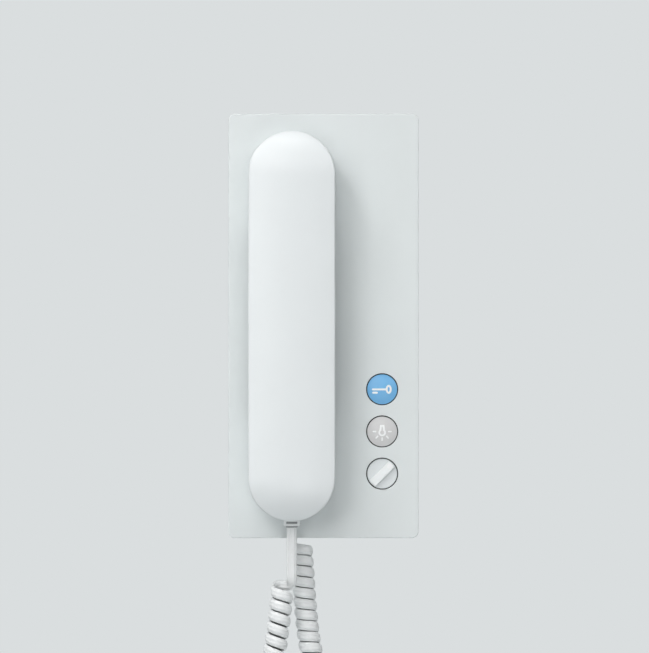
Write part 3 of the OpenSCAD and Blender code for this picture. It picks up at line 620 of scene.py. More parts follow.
SPRING_WIRE = 0.4 * MM
SPRING_TURNS = 3.0
spring_low, spring_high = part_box("hook_spring")
spring_foot = (spring_low + spring_high) / 2
spring_foot.y = spring_high.y - SPRING_WIRE / 2
spring = grown("hook_coil", [spring_foot], make_spring_tree(), Turns=SPRING_TURNS, Steel=plated_steel,
               Radius=(spring_high.x - spring_low.x - SPRING_WIRE) / 2,
               Height=spring_high.y - spring_low.y - SPRING_WIRE, Wire=SPRING_WIRE / 2)
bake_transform(spring)
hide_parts("hook_spring")

# Push buttons. Round caps in satin plastic with softened edges, one blue for the door and one grey for
# the light, each with a stem that rests on its switch and a flange that keeps it behind the cover.
# A white pictogram is inlaid in each face: a key, and a lamp with its rays.
CAP_R = 7.1
CAP_EDGE = 0.25
CAP_DOME = 1.6
CAP_RINGS = 10
FLANGE_T = 1.2
FLANGE_GAP = 0.3
FLANGE_FRONT = COVER_FRONT - COVER_WALL - FLANGE_GAP
FLANGE_BACK = FLANGE_FRONT - FLANGE_T
STEM_R = 2.4
# Below this depth the cap's side and its carrier are black: painted shade for the gap round the cap
SHADE_CARRIER_FRONT = 14.6
PRINT_PROUD = 0.03


def lathe(bm, x, up, profile, steps=96):
    """A turned solid about a line out from the wall; profile is (radius, depth) from end to end."""
    rings = [level_ring(bm, circle(x, up, r, steps), depth) for r, depth in profile[1:-1]]
    skin(bm, rings)
    for (_, depth), edge in ((profile[0], rings[0]), (profile[-1], rings[-1])):
        tip = bm.verts.new(at(x, up, depth))
        for a, b in zip(edge, edge[1:] + edge[:1]):
            bm.faces.new((tip, a, b))


def button_cap(name, node, material):
    """A domed cap on a carrier that is black as painted shade in the gap round the cap; returns its middle
    and the depth of its face at a point.
    """
    low, high = box_mm(node)
    x, up = middle_of(node)
    front, back, flange_r = -low.y, -high.y, (high.x - low.x) / 2

    def dome(at_x, at_up):
        return front - CAP_DOME * ((at_x - x) ** 2 + (at_up - up) ** 2) / CAP_R ** 2

    face_r = CAP_R - CAP_EDGE
    edge = dome(x + face_r, up)
    profile = [(face_r * i / CAP_RINGS, dome(x + face_r * i / CAP_RINGS, up)) for i in range(CAP_RINGS)]
    profile += [(CAP_R - inset, edge - below) for inset, below in reversed(rounding(CAP_EDGE))]
    profile += [(CAP_R, SHADE_CARRIER_FRONT), (CAP_R, FLANGE_FRONT), (flange_r, FLANGE_FRONT)]
    profile += [(flange_r, FLANGE_BACK), (STEM_R, FLANGE_BACK), (STEM_R, back), (0, back)]
    bm = bmesh.new()
    lathe(bm, x, up, profile)
    cap = solid(name, bm, material)
    cap.data.materials.append(black_moulding)
    # Painted shade: faces behind the carrier's front are black
    for polygon in cap.data.polygons:
        polygon.material_index = 1 if -polygon.center.y / MM < SHADE_CARRIER_FRONT else 0
    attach(cap, node)
    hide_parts(node)
    return x, up, dome


def dense(outline, step=0.4):
    """The same outline with more points on its long sides, so that it can follow a curved face."""
    points = []
    for (x0, up0), (x1, up1) in zip(outline, outline[1:] + outline[:1]):
        count = max(1, math.ceil(math.hypot(x1 - x0, up1 - up0) / step))
        points += [(x0 + (x1 - x0) * i / count, up0 + (up1 - up0) * i / count) for i in range(count)]
    return points


def inlay(bm, outline, face, hole=None):
    """A mark that stands a hair proud of a face, from its outline and the outline of its hole."""
    backs, fronts = [], []
    for loop in (outline, hole) if hole else (outline,):
        loop = dense(loop)
        backs.append(ring(bm, [(x, up, face(x, up) - PRINT_PROUD) for x, up in loop]))
        fronts.append(ring(bm, [(x, up, face(x, up) + PRINT_PROUD) for x, up in loop]))
        skin(bm, [backs[-1], fronts[-1]])
    fill(bm, backs[0], backs[1:])
    fill(bm, fronts[0], fronts[1:])


def stroke(x0, up0, x1, up1, w):
    """Outline of a straight stroke with round ends."""
    turn = math.degrees(math.atan2(up1 - up0, x1 - x0))
    far_end = arc(x1, up1, w / 2, turn - 90, turn + 90, steps=10)
    return far_end + arc(x0, up0, w / 2, turn + 90, turn + 270, steps=10)


def oval(x, up, rx, ry):
    return [(x + rx * a, up + ry * b) for a, b in circle(0, 0, 1, steps=48)]


cap_blue = moulded("cap_blue", linear(120, 187, 235), 0.38, grain=0.3, relief=0.004, drift=0.04)
cap_grey = moulded("cap_grey", linear(217, 216, 216), 0.42, grain=0.3, relief=0.004, drift=0.04)
print_white = moulded("print_white", linear(253, 254, 254), 0.4, grain=0.2, relief=0.002, drift=0.02)

door_x, door_up, door_face = button_cap("door_cap", "door_button", cap_blue)
KEY_STROKE = 0.92
# The key from the cap's middle: its shank and its bit from left to right, and the two ovals of its bow
KEY_SHANK = (-4.4, 2.0, -0.05)
KEY_BIT = (-4.3, -2.5, -1.6)
KEY_BOW = 3.1
BOW_OUTSIDE, BOW_INSIDE = (1.42, 2.1), (0.48, 1.15)
bm = bmesh.new()
for left, right, rise in (KEY_SHANK, KEY_BIT):
    inlay(bm, stroke(door_x + left, door_up + rise, door_x + right, door_up + rise, KEY_STROKE), door_face)
bow_outside, bow_inside = [oval(door_x + KEY_BOW, door_up, *radii) for radii in (BOW_OUTSIDE, BOW_INSIDE)]
inlay(bm, bow_outside, door_face, bow_inside)
key_mark = solid("door_key_mark", bm, print_white)
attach(key_mark, "door_button")

light_x, light_up, light_face = button_cap("light_cap", "light_button", cap_grey)
LAMP_STROKE = 0.82
LAMP_R = 1.36
LAMP_DROP = 0.5
NECK_X = 0.6
NECK_TOP = 2.75
NECK_EASE = 14
RAY_STROKE = 0.74
RAY_NEAR, RAY_FAR = 3.1, 4.2
RAY_ANGLES = (180, 227, 270, 313, 360)


def lamp_outline(offset):
    """The lamp's bulb hangs below its neck; offset moves the line out or in."""
    r = LAMP_R + offset
    neck = NECK_X + offset
    top = NECK_TOP + offset
    turn = math.degrees(math.acos(neck / r)) - NECK_EASE
    points = [(neck, top), (-neck, top)]
    points += arc(0, -LAMP_DROP, r, 180 - turn, 360 + turn, steps=40)
    return [(light_x + x, light_up + up) for x, up in points]


def around(r, angle):
    """A point at a distance and an angle, in degrees."""
    return r * math.cos(math.radians(angle)), r * math.sin(math.radians(angle))


bm = bmesh.new()
inlay(bm, lamp_outline(LAMP_STROKE / 2), light_face, lamp_outline(-LAMP_STROKE / 2))
for angle in RAY_ANGLES:
    near, far = around(RAY_NEAR, angle), around(RAY_FAR, angle)
    ray = stroke(light_x + near[0], light_up + near[1], light_x + far[0], light_up + far[1], RAY_STROKE)
    inlay(bm, ray, light_face)
lamp_mark = solid("light_lamp_mark", bm, print_white)
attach(lamp_mark, "light_button")

# Volume knob. A round knob in pale plastic on a carrier that is black as painted shade for the gap round
# it, sunk in its hole on both sides of a white grip bar that runs from lower left to upper right at rest.
# Its floor slopes a little down to the bar, and a dot at the bar's upper end marks where the knob points.
BAR_HALF = 2.0
BAR_EDGE = 0.35
BAR_TURN = math.radians(45)
BAR_ROOM = 0.4
KNOB_FOOT = 14.95
KNOB_RISE = 0.03
KNOB_LIP = 0.25
KNOB_HUB_R = 3.6
KNOB_STEPS = 144
DOT_R = 1.2
DOT_OUT = 4.9
# How far below the floor the black carrier, painted shade, starts, how far above it all is bar, and how
# near the bar's foot is
SHADE_CARRIER_BELOW, BAR_ABOVE, BAR_NEAR = 0.5, 0.4, 0.02
knob_low, knob_high = box_mm("volume_knob")
knob_x, knob_up = middle_of("volume_knob")
knob_front, knob_back = -knob_low.y, -knob_high.y
knob_flange_r = (knob_high.x - knob_low.x) / 2
knob_pale = moulded("knob_pale", linear(226, 230, 231), 0.42, grain=0.3, relief=0.004, drift=0.04)
bar_white = moulded("bar_white", linear(248, 251, 251), 0.4, grain=0.3, relief=0.004, drift=0.03)


def knob_floor(x, up):
    """Depth of the knob's floor: lowest beside the grip bar, rising towards the rim."""
    off_bar = abs(x - knob_x - (up - knob_up)) / math.sqrt(2)
    return KNOB_FOOT + KNOB_RISE * max(0.0, off_bar - BAR_HALF)


def bar_outline(inset):
    """The grip bar seen from the front: a strip across the knob with ends that follow its rim."""
    half = BAR_HALF - inset
    r = CAP_R - BAR_ROOM - inset
    end = math.degrees(math.asin(half / r))
    points = arc(0, 0, r, -end, end, steps=12)
    points += arc(0, 0, r, 180 - end, 180 + end, steps=12)
    c, s = math.cos(BAR_TURN), math.sin(BAR_TURN)
    return [(knob_x + x * c - y * s, knob_up + x * s + y * c) for x, y in points]


def floor_ring(bm, outline, below):
    return ring(bm, [(x, up, knob_floor(x, up) - below) for x, up in outline])


bm = bmesh.new()
floor_edge = [
    floor_ring(bm, circle(knob_x, knob_up, CAP_R - KNOB_LIP, KNOB_STEPS), 0),
    floor_ring(bm, circle(knob_x, knob_up, CAP_R, KNOB_STEPS), KNOB_LIP),
]
knob_profile = [(CAP_R, FLANGE_FRONT), (knob_flange_r, FLANGE_FRONT), (knob_flange_r, FLANGE_BACK)]
knob_profile += [(KNOB_HUB_R, FLANGE_BACK), (KNOB_HUB_R, knob_back)]
for r, depth in knob_profile:
    floor_edge.append(level_ring(bm, circle(knob_x, knob_up, r, KNOB_STEPS), depth))
skin(bm, floor_edge)
bm.faces.new(floor_edge[-1])
bar_foot = floor_ring(bm, bar_outline(0), 0)
bar_rings = [bar_foot]
for inset, below in rounding(BAR_EDGE):
    bar_rings.append(level_ring(bm, bar_outline(inset), knob_front - below))
bar_rings.append(level_ring(bm, bar_outline(BAR_EDGE + FLAT_STRIP), knob_front))
skin(bm, bar_rings)
fill(bm, bar_rings[-1])
fill(bm, floor_edge[0], [bar_foot])
knob = solid("volume_dial", bm, knob_pale)
knob.data.materials.append(black_moulding)
knob.data.materials.append(bar_white)
for polygon in knob.data.polygons:
    out = -polygon.center.y / MM
    on_bar = min((polygon.center - at(x, up, out)).length for x, up in bar_outline(0)) < BAR_NEAR * MM
    on_bar = on_bar or out > KNOB_FOOT + BAR_ABOVE
    polygon.material_index = 1 if out < KNOB_FOOT - SHADE_CARRIER_BELOW else 2 if on_bar else 0
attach(knob, "volume_knob")
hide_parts("volume_knob")
bm = bmesh.new()
dot_x, dot_up = [place + DOT_OUT / math.sqrt(2) for place in (knob_x, knob_up)]
inlay(bm, circle(dot_x, dot_up, DOT_R, steps=40), lambda x, up: knob_front)
dot = solid("volume_dot", bm, print_white)
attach(dot, "volume_knob")

# Handset, rear shell. A hollow moulding in satin white plastic with an ear cup, a mouth cup and a
# raised grip between them, so that fingers fit behind it. It has sound holes, recesses for two screws,
# a slanting slot for the cover's tongue, and an opening at its lower end for the cord's plug.
HANDSET_WHITE = linear(236, 240, 241)
handset_satin = moulded("handset_plastic_satin", HANDSET_WHITE, 0.36, grain=0.35, relief=0.004, drift=0.03)
shell_low, shell_high = box_mm("handset_rear_shell")
END_R = (shell_high.x - shell_low.x) / 2
END_Z = shell_high.z - END_R
SHELL_WALL = 2.0
JOINT = -shell_low.y
CUP_BACK = -shell_high.y
GRIP_BACK = 24.0
CUP_EDGE_Z, GRIP_EDGE_Z = 47.0, 39.0
REAR_EDGE = 1.6
SEAM = 0.2
LEDGE = 0.1
EAR_HOLE_R, EAR_RING_R = 1.0, 4.5
MOUTH_HOLE_R, MOUTH_RING_R = 0.8, 2.2
SHELL_SCREW_UP = 33
RECESS_R, SCREW_HOLE_R, RECESS_IN = 2.9, 1.5, 1.1
TONGUE_ROOM = 0.5
handset_plug_low, handset_plug_high = box_mm("handset_plug")
mouth_half = (handset_plug_high.x - handset_plug_low.x) / 2 + PLUG_ROOM
mouth_turn = math.degrees(math.asin(mouth_half / END_R))
mouth_levels = (-handset_plug_high.y - PLUG_ROOM, -handset_plug_low.y + PLUG_ROOM)
SLOPE_STEPS = 12
slope_marks = [GRIP_EDGE_Z + (CUP_EDGE_Z - GRIP_EDGE_Z) * i / SLOPE_STEPS for i in range(SLOPE_STEPS + 1)]
side_marks = [-z for z in reversed(slope_marks)] + slope_marks
ARC_STEPS = 40
MOUTH_STEPS = 6


def handset_outline(inset):
    """A stadium: up over the top end, down the left side, round the lower end and up the right side."""
    r = END_R - inset
    points = arc(handset_x, END_Z, r, 0, 180, 2 * ARC_STEPS)
    points += [(handset_x - r, z) for z in reversed(side_marks)]
    points += arc(handset_x, -END_Z, r, 180, 270 - mouth_turn, ARC_STEPS)
    points += arc(handset_x, -END_Z, r, 270 - mouth_turn, 270 + mouth_turn, MOUTH_STEPS)[1:]
    points += arc(handset_x, -END_Z, r, 270 + mouth_turn, 360, ARC_STEPS)[1:]
    points += [(handset_x + r, z) for z in side_marks]
    return points


def rear_at(up):
    """Depth of the rear face: a cup at each end, an eased slope, and the grip between."""
    t = min(1.0, max(0.0, (CUP_EDGE_Z - abs(up)) / (CUP_EDGE_Z - GRIP_EDGE_Z)))
    return CUP_BACK + (GRIP_BACK - CUP_BACK) * t * t * (3 - 2 * t)


def rear_ring(bm, outline, lift):
    return ring(bm, [(x, up, rear_at(up) + lift) for x, up in outline])


def round_hole(bm, x, up, r, inner_steps, points):
    """Rings of a round hole from the rear face in; inner steps are its (radius, depth) below its edge."""
    steps = [(r + grow, deep) for grow, deep in soft_mouth()] + inner_steps
    return [rear_ring(bm, circle(x, up, step_r, points), deep) for step_r, deep in steps]


def sound_hole(bm, x, up, r):
    return round_hole(bm, handset_x + x, up, r, [(r, SHELL_WALL)], points=32)


def screw_recess(bm, up):
    inner_steps = [(RECESS_R, RECESS_IN), (SCREW_HOLE_R, RECESS_IN), (SCREW_HOLE_R, SHELL_WALL)]
    return round_hole(bm, handset_x, up, RECESS_R, inner_steps, points=48)


def tongue_slot(bm):
    """The slot leans as the tongue does, so its rings shift upward as they go in."""
    w, h = TONGUE_W + 2 * TONGUE_ROOM, (TONGUE_T + 2 * TONGUE_ROOM) / TONGUE_OUT
    rings = []
    for grow, deep in [*soft_mouth(), (0, SHELL_WALL)]:
        depth = CUP_BACK + deep
        up = TONGUE_ROOT + (depth - COVER_FRONT) * TONGUE_RISE / TONGUE_OUT
        outline = rounded_rect(handset_x, up, w + 2 * grow, h + 2 * grow, SLOT_CORNER + grow)
        rings.append(level_ring(bm, outline, depth))
    return rings


def ledge_ring(bm, inset, rise):
    """A ring below the plug's opening that clears the rear face by a rise."""
    outline = handset_outline(inset)
    return ring(bm, [(x, up, max(mouth_levels[0], rear_at(up) + rise + LEDGE)) for x, up in outline])


bm = bmesh.new()
rear_outer = [level_ring(bm, handset_outline(SEAM), JOINT)]
rear_outer += [level_ring(bm, handset_outline(0), depth) for depth in (JOINT - SEAM, mouth_levels[1])]
rear_outer.append(ledge_ring(bm, 0, REAR_EDGE))
rear_steps = [*rounding(REAR_EDGE, steps=8), (REAR_EDGE + FLAT_STRIP, 0)]
rear_outer += [rear_ring(bm, handset_outline(inset), below) for inset, below in rear_steps]
rear_inner = [level_ring(bm, handset_outline(SHELL_WALL), depth) for depth in (JOINT, mouth_levels[1])]
rear_inner.append(ledge_ring(bm, SHELL_WALL, SHELL_WALL))
rear_inner.append(rear_ring(bm, handset_outline(SHELL_WALL), SHELL_WALL))
mouth_start = 2 * ARC_STEPS + 1 + len(side_marks) + ARC_STEPS
mouth_points = range(mouth_start, mouth_start + MOUTH_STEPS)
skin(bm, rear_outer, gaps=[(2, k) for k in mouth_points])
skin(bm, rear_inner, gaps=[(1, k) for k in mouth_points])
skin(bm, [rear_outer[0], rear_inner[0]])
mouth_loops = []
for front_ring, back_ring in ((rear_outer[2], rear_outer[3]), (rear_inner[1], rear_inner[2])):
    along = list(mouth_points) + [mouth_points[-1] + 1]
    mouth_loops.append([front_ring[k] for k in along] + [back_ring[k] for k in reversed(along)])
skin(bm, mouth_loops)
ear_holes = [(0, 0)] + [around(EAR_RING_R, angle) for angle in range(0, 360, 60)]
mouth_holes = [around(MOUTH_RING_R, angle) for angle in (30, 150, 270)]
rear_holes = [sound_hole(bm, x, END_Z + up, EAR_HOLE_R) for x, up in ear_holes]
rear_holes += [sound_hole(bm, x, -END_Z + up, MOUTH_HOLE_R) for x, up in mouth_holes]
rear_holes += [screw_recess(bm, up) for up in (-SHELL_SCREW_UP, SHELL_SCREW_UP)]
rear_holes.append(tongue_slot(bm))
for rings in rear_holes:
    skin(bm, rings)


def slope_ties(rim_ring):
    """Edges straight across the rear face, so that its slopes are filled in even strips."""
    by_height = {}
    for v in rim_ring:
        by_height.setdefault(round(v.co.z / MM, 3), []).append(v)
    heights = [round(z, 3) for z in side_marks]
    return [by_height[z] for z in heights]


fill(bm, rear_outer[-1], [rings[0] for rings in rear_holes], slope_ties(rear_outer[-1]))
fill(bm, rear_inner[-1], [rings[-1] for rings in rear_holes], slope_ties(rear_inner[-1]))
rear_shell = solid("handset_rear_moulding", bm, handset_satin)
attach(rear_shell, "handset")
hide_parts("handset_rear_shell")

# What the handset holds. An ear receiver on a rubber gasket, a microphone in a rubber boot, a steel
# weight that keeps the handset on its hook, and two thin leads from the cord's socket.
dress(moulded("receiver_shell", linear(88, 90, 94), 0.38, metallic=0.8, drift=0.15), "ear_receiver")
dress(moulded("capsule_steel", linear(178, 180, 184), 0.3, metallic=1.0, drift=0.15), "microphone")
weight_steel = moulded("weight_steel", linear(104, 110, 116), 0.5, grain=0.7, relief=0.02, metallic=0.8)
dress(weight_steel, "handset_weight")
dress(moulded("soft_rubber", linear(30, 30, 31), 0.72, drift=0.2), "receiver_gasket", "microphone_boot")
THIN_LEAD_R = 0.8
lead_red = moulded("lead_red", linear(168, 38, 36), 0.4, drift=0.1)
lead_yellow = moulded("lead_yellow", linear(206, 164, 48), 0.4, drift=0.1)


def thin_lead(name, node, points, material):
    """A round insulated wire that runs smoothly through points given from the handset's middle."""
    line = bpy.data.curves.new(name, "CURVE")
    line.dimensions = "3D"
    line.bevel_depth = THIN_LEAD_R * MM
    line.bevel_resolution = 3
    line.use_fill_caps = True
    spline = line.splines.new("NURBS")
    spline.points.add(len(points) - 1)
    spline.use_endpoint_u = True
    spline.order_u = 3
    spline.resolution_u = 6
    for point, (x, up, depth) in zip(spline.points, points):
        point.co = (*at(handset_x + x, up, depth), 1)
    drawn = add_object(name + "_line", line)
    mesh = plain_mesh(drawn)
    bpy.data.objects.remove(drawn)
    mesh.shade_smooth()
    mesh.materials.clear()
    mesh.materials.append(material)
    lead = add_object(name, mesh)
    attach(lead, "handset")
    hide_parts(node)


socket_top = box_mm("handset_socket")[1].z
receiver_back = -box_mm("ear_receiver")[0].y
microphone_back = -box_mm("microphone")[0].y
thin_lead("receiver_wire", "receiver_lead", [
    (3, socket_top, 24), (3, socket_top + 1.6, 24), (8, -END_Z - 1.5, 25.5), (12, -END_Z + 9.5, 28.5),
    (12.5, -END_Z + 21.5, 29), (12.5, END_Z - 31.5, 29), (11.5, END_Z - 17.5, 30), (8.5, END_Z - 5.5, 30.5),
    (7, END_Z - 1, receiver_back + 2.4), (7, END_Z - 1, receiver_back)], lead_red)
thin_lead("microphone_wire", "microphone_lead", [
    (-3, socket_top, 24.5), (-3, socket_top + 1.6, 24.5), (-3, -END_Z - 3.5, 26), (-3, -END_Z - 2, 27.5),
    (-2.5, -END_Z, microphone_back + 2), (-2.5, -END_Z, microphone_back)], lead_yellow)

# Handset, front shell. The plain long front of the handset, in the same satin plastic: a stadium with
# a low crown across it, which falls away in a round arc at both ends. A fine groove marks the joint
# with the rear shell.
HANDSET_FRONT = 46.0
CROWN = 2.6
END_DROP = 8.0
FRONT_EDGE = 0.7
end_arc = (END_R * END_R + END_DROP * END_DROP) / (2 * END_DROP)
FRONT_STEPS = 16


def front_at(x, up):
    """Depth of the front face at a point of the outline."""
    past_end = max(0.0, abs(up) - END_Z)
    fall = end_arc - math.sqrt(end_arc * end_arc - past_end * past_end)
    return HANDSET_FRONT - CROWN * ((x - handset_x) / END_R) ** 2 - fall


def front_ring(bm, inset, below):
    return ring(bm, [(x, up, front_at(x, up) - below) for x, up in handset_outline(inset)])


def across_front(start):
    """Insets from an edge to the middle line of the front."""
    return [start + (END_R - start) * i / FRONT_STEPS for i in range(FRONT_STEPS + 1)]


bm = bmesh.new()
front_outer = [level_ring(bm, handset_outline(SEAM), JOINT)]
front_outer.append(level_ring(bm, handset_outline(0), JOINT + SEAM))
front_outer += [front_ring(bm, inset, below) for inset, below in rounding(FRONT_EDGE, steps=8)]
front_outer += [front_ring(bm, inset, 0) for inset in across_front(FRONT_EDGE)[1:]]
front_inner = [level_ring(bm, handset_outline(SHELL_WALL), JOINT)]
front_inner += [front_ring(bm, inset, SHELL_WALL) for inset in across_front(SHELL_WALL)]
skin(bm, [front_inner[0], front_outer[0]])
skin(bm, front_outer)
skin(bm, front_inner)
front_shell = solid("handset_front_moulding", bm, handset_satin)
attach(front_shell, "handset")
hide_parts("handset_front_shell")

# Cord plugs. Two modular plugs in pale clear plastic, one in the handset's lower end and one in the
# base, each with a collar round the cord and a narrow window, both grey as painted shade under the plug's
# end and in the window's recess.
PLUG_EDGE = 0.25
COLLAR_LEN = 0.8
COLLAR_EDGE = 0.2
COLLAR_NARROWER = 2.0
COLLAR_T = 3.4
WINDOW_HALF = 2.6
WINDOW_LOW, WINDOW_HIGH = 1.8, 2.8
WINDOW_DEEP = 0.8
WINDOW_ROOM = 0.1
# The window lies between the ring of this number and the next, and starts at this point of them
WINDOW_RING = 2
WINDOW_POINT = CORNER_STEPS + 1
plug_clear = moulded(
    "plug_plastic_pale", linear(250, 252, 252), 0.22, grain=0.3, relief=0.002, drift=0.04, coat=0.3)
plug_shade_grey = moulded("plug_shade_grey", linear(168, 171, 172), 0.42, grain=0.3, relief=0.002, drift=0.1)


def plug_section(x, depth, w, t, inset):
    """The plug across its length, as (x, depth) points, with marks for its window on the front side."""
    half = min(WINDOW_HALF, w / 2 - PLUG_EDGE - WINDOW_ROOM)
    r = max(PLUG_EDGE - inset, LEAST_ROUND)
    turned = rounded_rect(x, -depth, w - 2 * inset, t - 2 * inset, r, (x - half, x + half))
    return [(px, -py) for px, py in turned]


def cord_plug(name, node, body):
    """The collar and the window's sides and floor, grey as painted shade, are made first, and then the
    clear rest.
    """
    low, high = box_mm(node)
    x, depth = (low.x + high.x) / 2, -(low.y + high.y) / 2
    end, top, shoulder = low.z, high.z, low.z + COLLAR_LEN
    whole = (high.x - low.x, high.y - low.y)
    bm = bmesh.new()

    def rings_of(size, steps):
        sections = [(plug_section(x, depth, *size, inset), z) for inset, z in steps]
        return [ring(bm, [(px, z, pd) for px, pd in section]) for section, z in sections]

    collar_steps = [(COLLAR_EDGE, end), (0, end + COLLAR_EDGE), (0, shoulder)]
    collar = rings_of((whole[0] - COLLAR_NARROWER, COLLAR_T), collar_steps)
    steps = [(PLUG_EDGE, shoulder), (0, shoulder + PLUG_EDGE)]
    steps += [(0, end + WINDOW_LOW), (0, end + WINDOW_HIGH), (0, top - PLUG_EDGE), (PLUG_EDGE, top)]
    clear = rings_of(whole, steps)
    mouth = opening(clear, WINDOW_RING, WINDOW_POINT)
    floor = [bm.verts.new(v.co + Vector((0, WINDOW_DEEP * MM, 0))) for v in mouth]
    skin(bm, collar)
    fill(bm, collar[0], up="y")
    skin(bm, [mouth, floor])
    bm.faces.new(floor)
    # Painted shade: the collar and the window's sides and floor take the grey material
    for face in bm.faces:
        face.material_index = 1
    skin(bm, [collar[-1], *clear], gaps=[(WINDOW_RING + 1, WINDOW_POINT)])
    fill(bm, clear[-1], up="y")
    plug = solid(name, bm, plug_clear, sharp=30)
    plug.data.materials.append(plug_shade_grey)
    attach(plug, body)
    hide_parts(node)
    return plug


handset_end_plug = cord_plug("handset_end_plug", "handset_plug", "handset")
base_end_plug = cord_plug("base_end_plug", "base_plug", "base")

# Curly cord. A flat four-wire cord in white vinyl, wound to a left-handed coil of 38 turns that hangs
# in a loop from the handset to the base. It is one cord in two meshes that meet at the bottom of the
# loop: the handset's strand, and the base's strand, which is held to the base.
CORD_W = 4.8
CORD_T = 2.4
CURL_R = 4.3
RINGS_PER_TURN = 28
SECTION_POINTS = 18
SWING_STEPS = 14
LEAD_STEPS = 6
HEADING_STEP = 0.05
BACKWARD, FORWARD = Vector((0, 1, 0)), Vector((0, -1, 0))
HANDSET_LEAD_IN = 7.0
BASE_LEAD_IN = 2.8
SWING_TURN = 0.25
LEAD_GAP = 0.1
LOOP_BOTTOM = 17
# Lift of the first turn's back, and the turns that it takes
LOOP_LIFT = 1.8
LOOP_END = 0.6
FLATNESS = 2.1
WIRE_RIDGES = 2.5
GRAIN_SHARE = 0.03
# The painted shade that greys the cord's side inside the coil starts and is full this far along the cord
PAINTED_SHADE_START, PAINTED_SHADE_FULL = 36, 48
PAINTED_SHADE_MOST = 0.8
# Where it starts and is full round the section: one faces out of the coil, and minus one into it
PAINTED_SHADE_SIDE, PAINTED_SHADE_INSIDE = 0.25, -0.6
# Route of the coil's middle line: turns counted from the handset, then x, y and z in millimetres
ROUTE = [
    (0, -19.3, -24, -123),
    (2, -20.4, -24, -134),
    (4, -21.8, -24, -145),
    (6, -23.4, -23.5, -156),
    (9, -27.4, -22.5, -172.5),
    (11.5, -30, -21.5, -186),
    (13.5, -31, -20.5, -198),
    (15.25, -26, -19, -210),
    (17, -14.5, -17.5, -215),
    (18.75, -3, -16, -210),
    (20.5, 2, -14.5, -198),
    (22.5, 1, -13, -186),
    (25, -1.8, -11.5, -172.5),
    (28, -5.4, -10, -156.5),
    (30, -7.2, -9.5, -146),
    (33, -8.8, -9.5, -130.5),
    (35.5, -9.7, -9.5, -117.5),
    (38, -10.7, -9.5, -104.5),
]
CURL_TURNS = ROUTE[-1][0]
places = [Vector(stop[1:]) for stop in ROUTE]
counts = [stop[0] for stop in ROUTE]


def pace(i):
    a, b = max(0, i - 1), min(len(ROUTE) - 1, i + 1)
    return (places[b] - places[a]) / (counts[b] - counts[a])


def coil_middle(u):
    """Middle line of the coil after u turns: a smooth curve through the route's points."""
    i = max(k for k in range(len(ROUTE) - 1) if counts[k] <= u or k == 0)
    d = counts[i + 1] - counts[i]
    t = (u - counts[i]) / d
    ends = places[i] * (1 + 2 * t) * (1 - t) ** 2 + places[i + 1] * t * t * (3 - 2 * t)
    return ends + pace(i) * d * t * (1 - t) ** 2 - pace(i + 1) * d * t * t * (1 - t)


def square_to(v, axis):
    return (v - v.dot(axis) * axis).normalized()


def outward(u):
    """Direction from the coil's middle line to the cord after u turns."""
    before, after = max(0, u - HEADING_STEP), min(CURL_TURNS, u + HEADING_STEP)
    heading = (coil_middle(after) - coil_middle(before)).normalized()
    back = square_to(BACKWARD, heading)
    turn = 2 * math.pi * u
    return math.cos(turn) * heading.cross(back) + math.sin(turn) * back


def curl(u):
    """The cord's middle after u turns; the back of the first turn stands a little above the coil."""
    point = coil_middle(u) + CURL_R * outward(u)
    if u < LOOP_END:
        point.z += LOOP_LIFT * math.sin(math.pi * u / LOOP_END) ** 2
    return point


handset_lead = Vector((
    handset_x, (handset_plug_low.y + handset_plug_high.y) / 2, handset_plug_low.z - LEAD_GAP))
base_lead = Vector((handset_x, (plug_low.y + plug_high.y) / 2, plug_low.z))


def swing(end_turn, direction, rise, facing):
    """From a straight lead into the first quarter turn of the coil, as (point, facing) stops."""
    stops = []
    for i in range(SWING_STEPS):
        v = i / SWING_STEPS
        u = end_turn + direction * SWING_TURN * v * v
        point = curl(u) + Vector((0, 0, rise * (1 - v) ** 2))
        stops.append((point, facing))
    return stops


def straight(a, b, facing):
    return [(a + (b - a) * i / LEAD_STEPS, facing) for i in range(LEAD_STEPS)]


def coil(first, last):
    count = round((last - first) * RINGS_PER_TURN)
    return [(curl(u), outward(u)) for u in (first + (last - first) * i / count for i in range(count + 1))]


handset_swing = swing(0, 1, HANDSET_LEAD_IN, BACKWARD)
base_swing = swing(CURL_TURNS, -1, BASE_LEAD_IN, FORWARD)
handset_stops = straight(handset_lead, handset_swing[0][0], BACKWARD) + handset_swing
handset_stops += coil(SWING_TURN, LOOP_BOTTOM)
base_stops = straight(base_lead, base_swing[0][0], FORWARD) + base_swing
base_stops += list(reversed(coil(LOOP_BOTTOM, CURL_TURNS - SWING_TURN)))


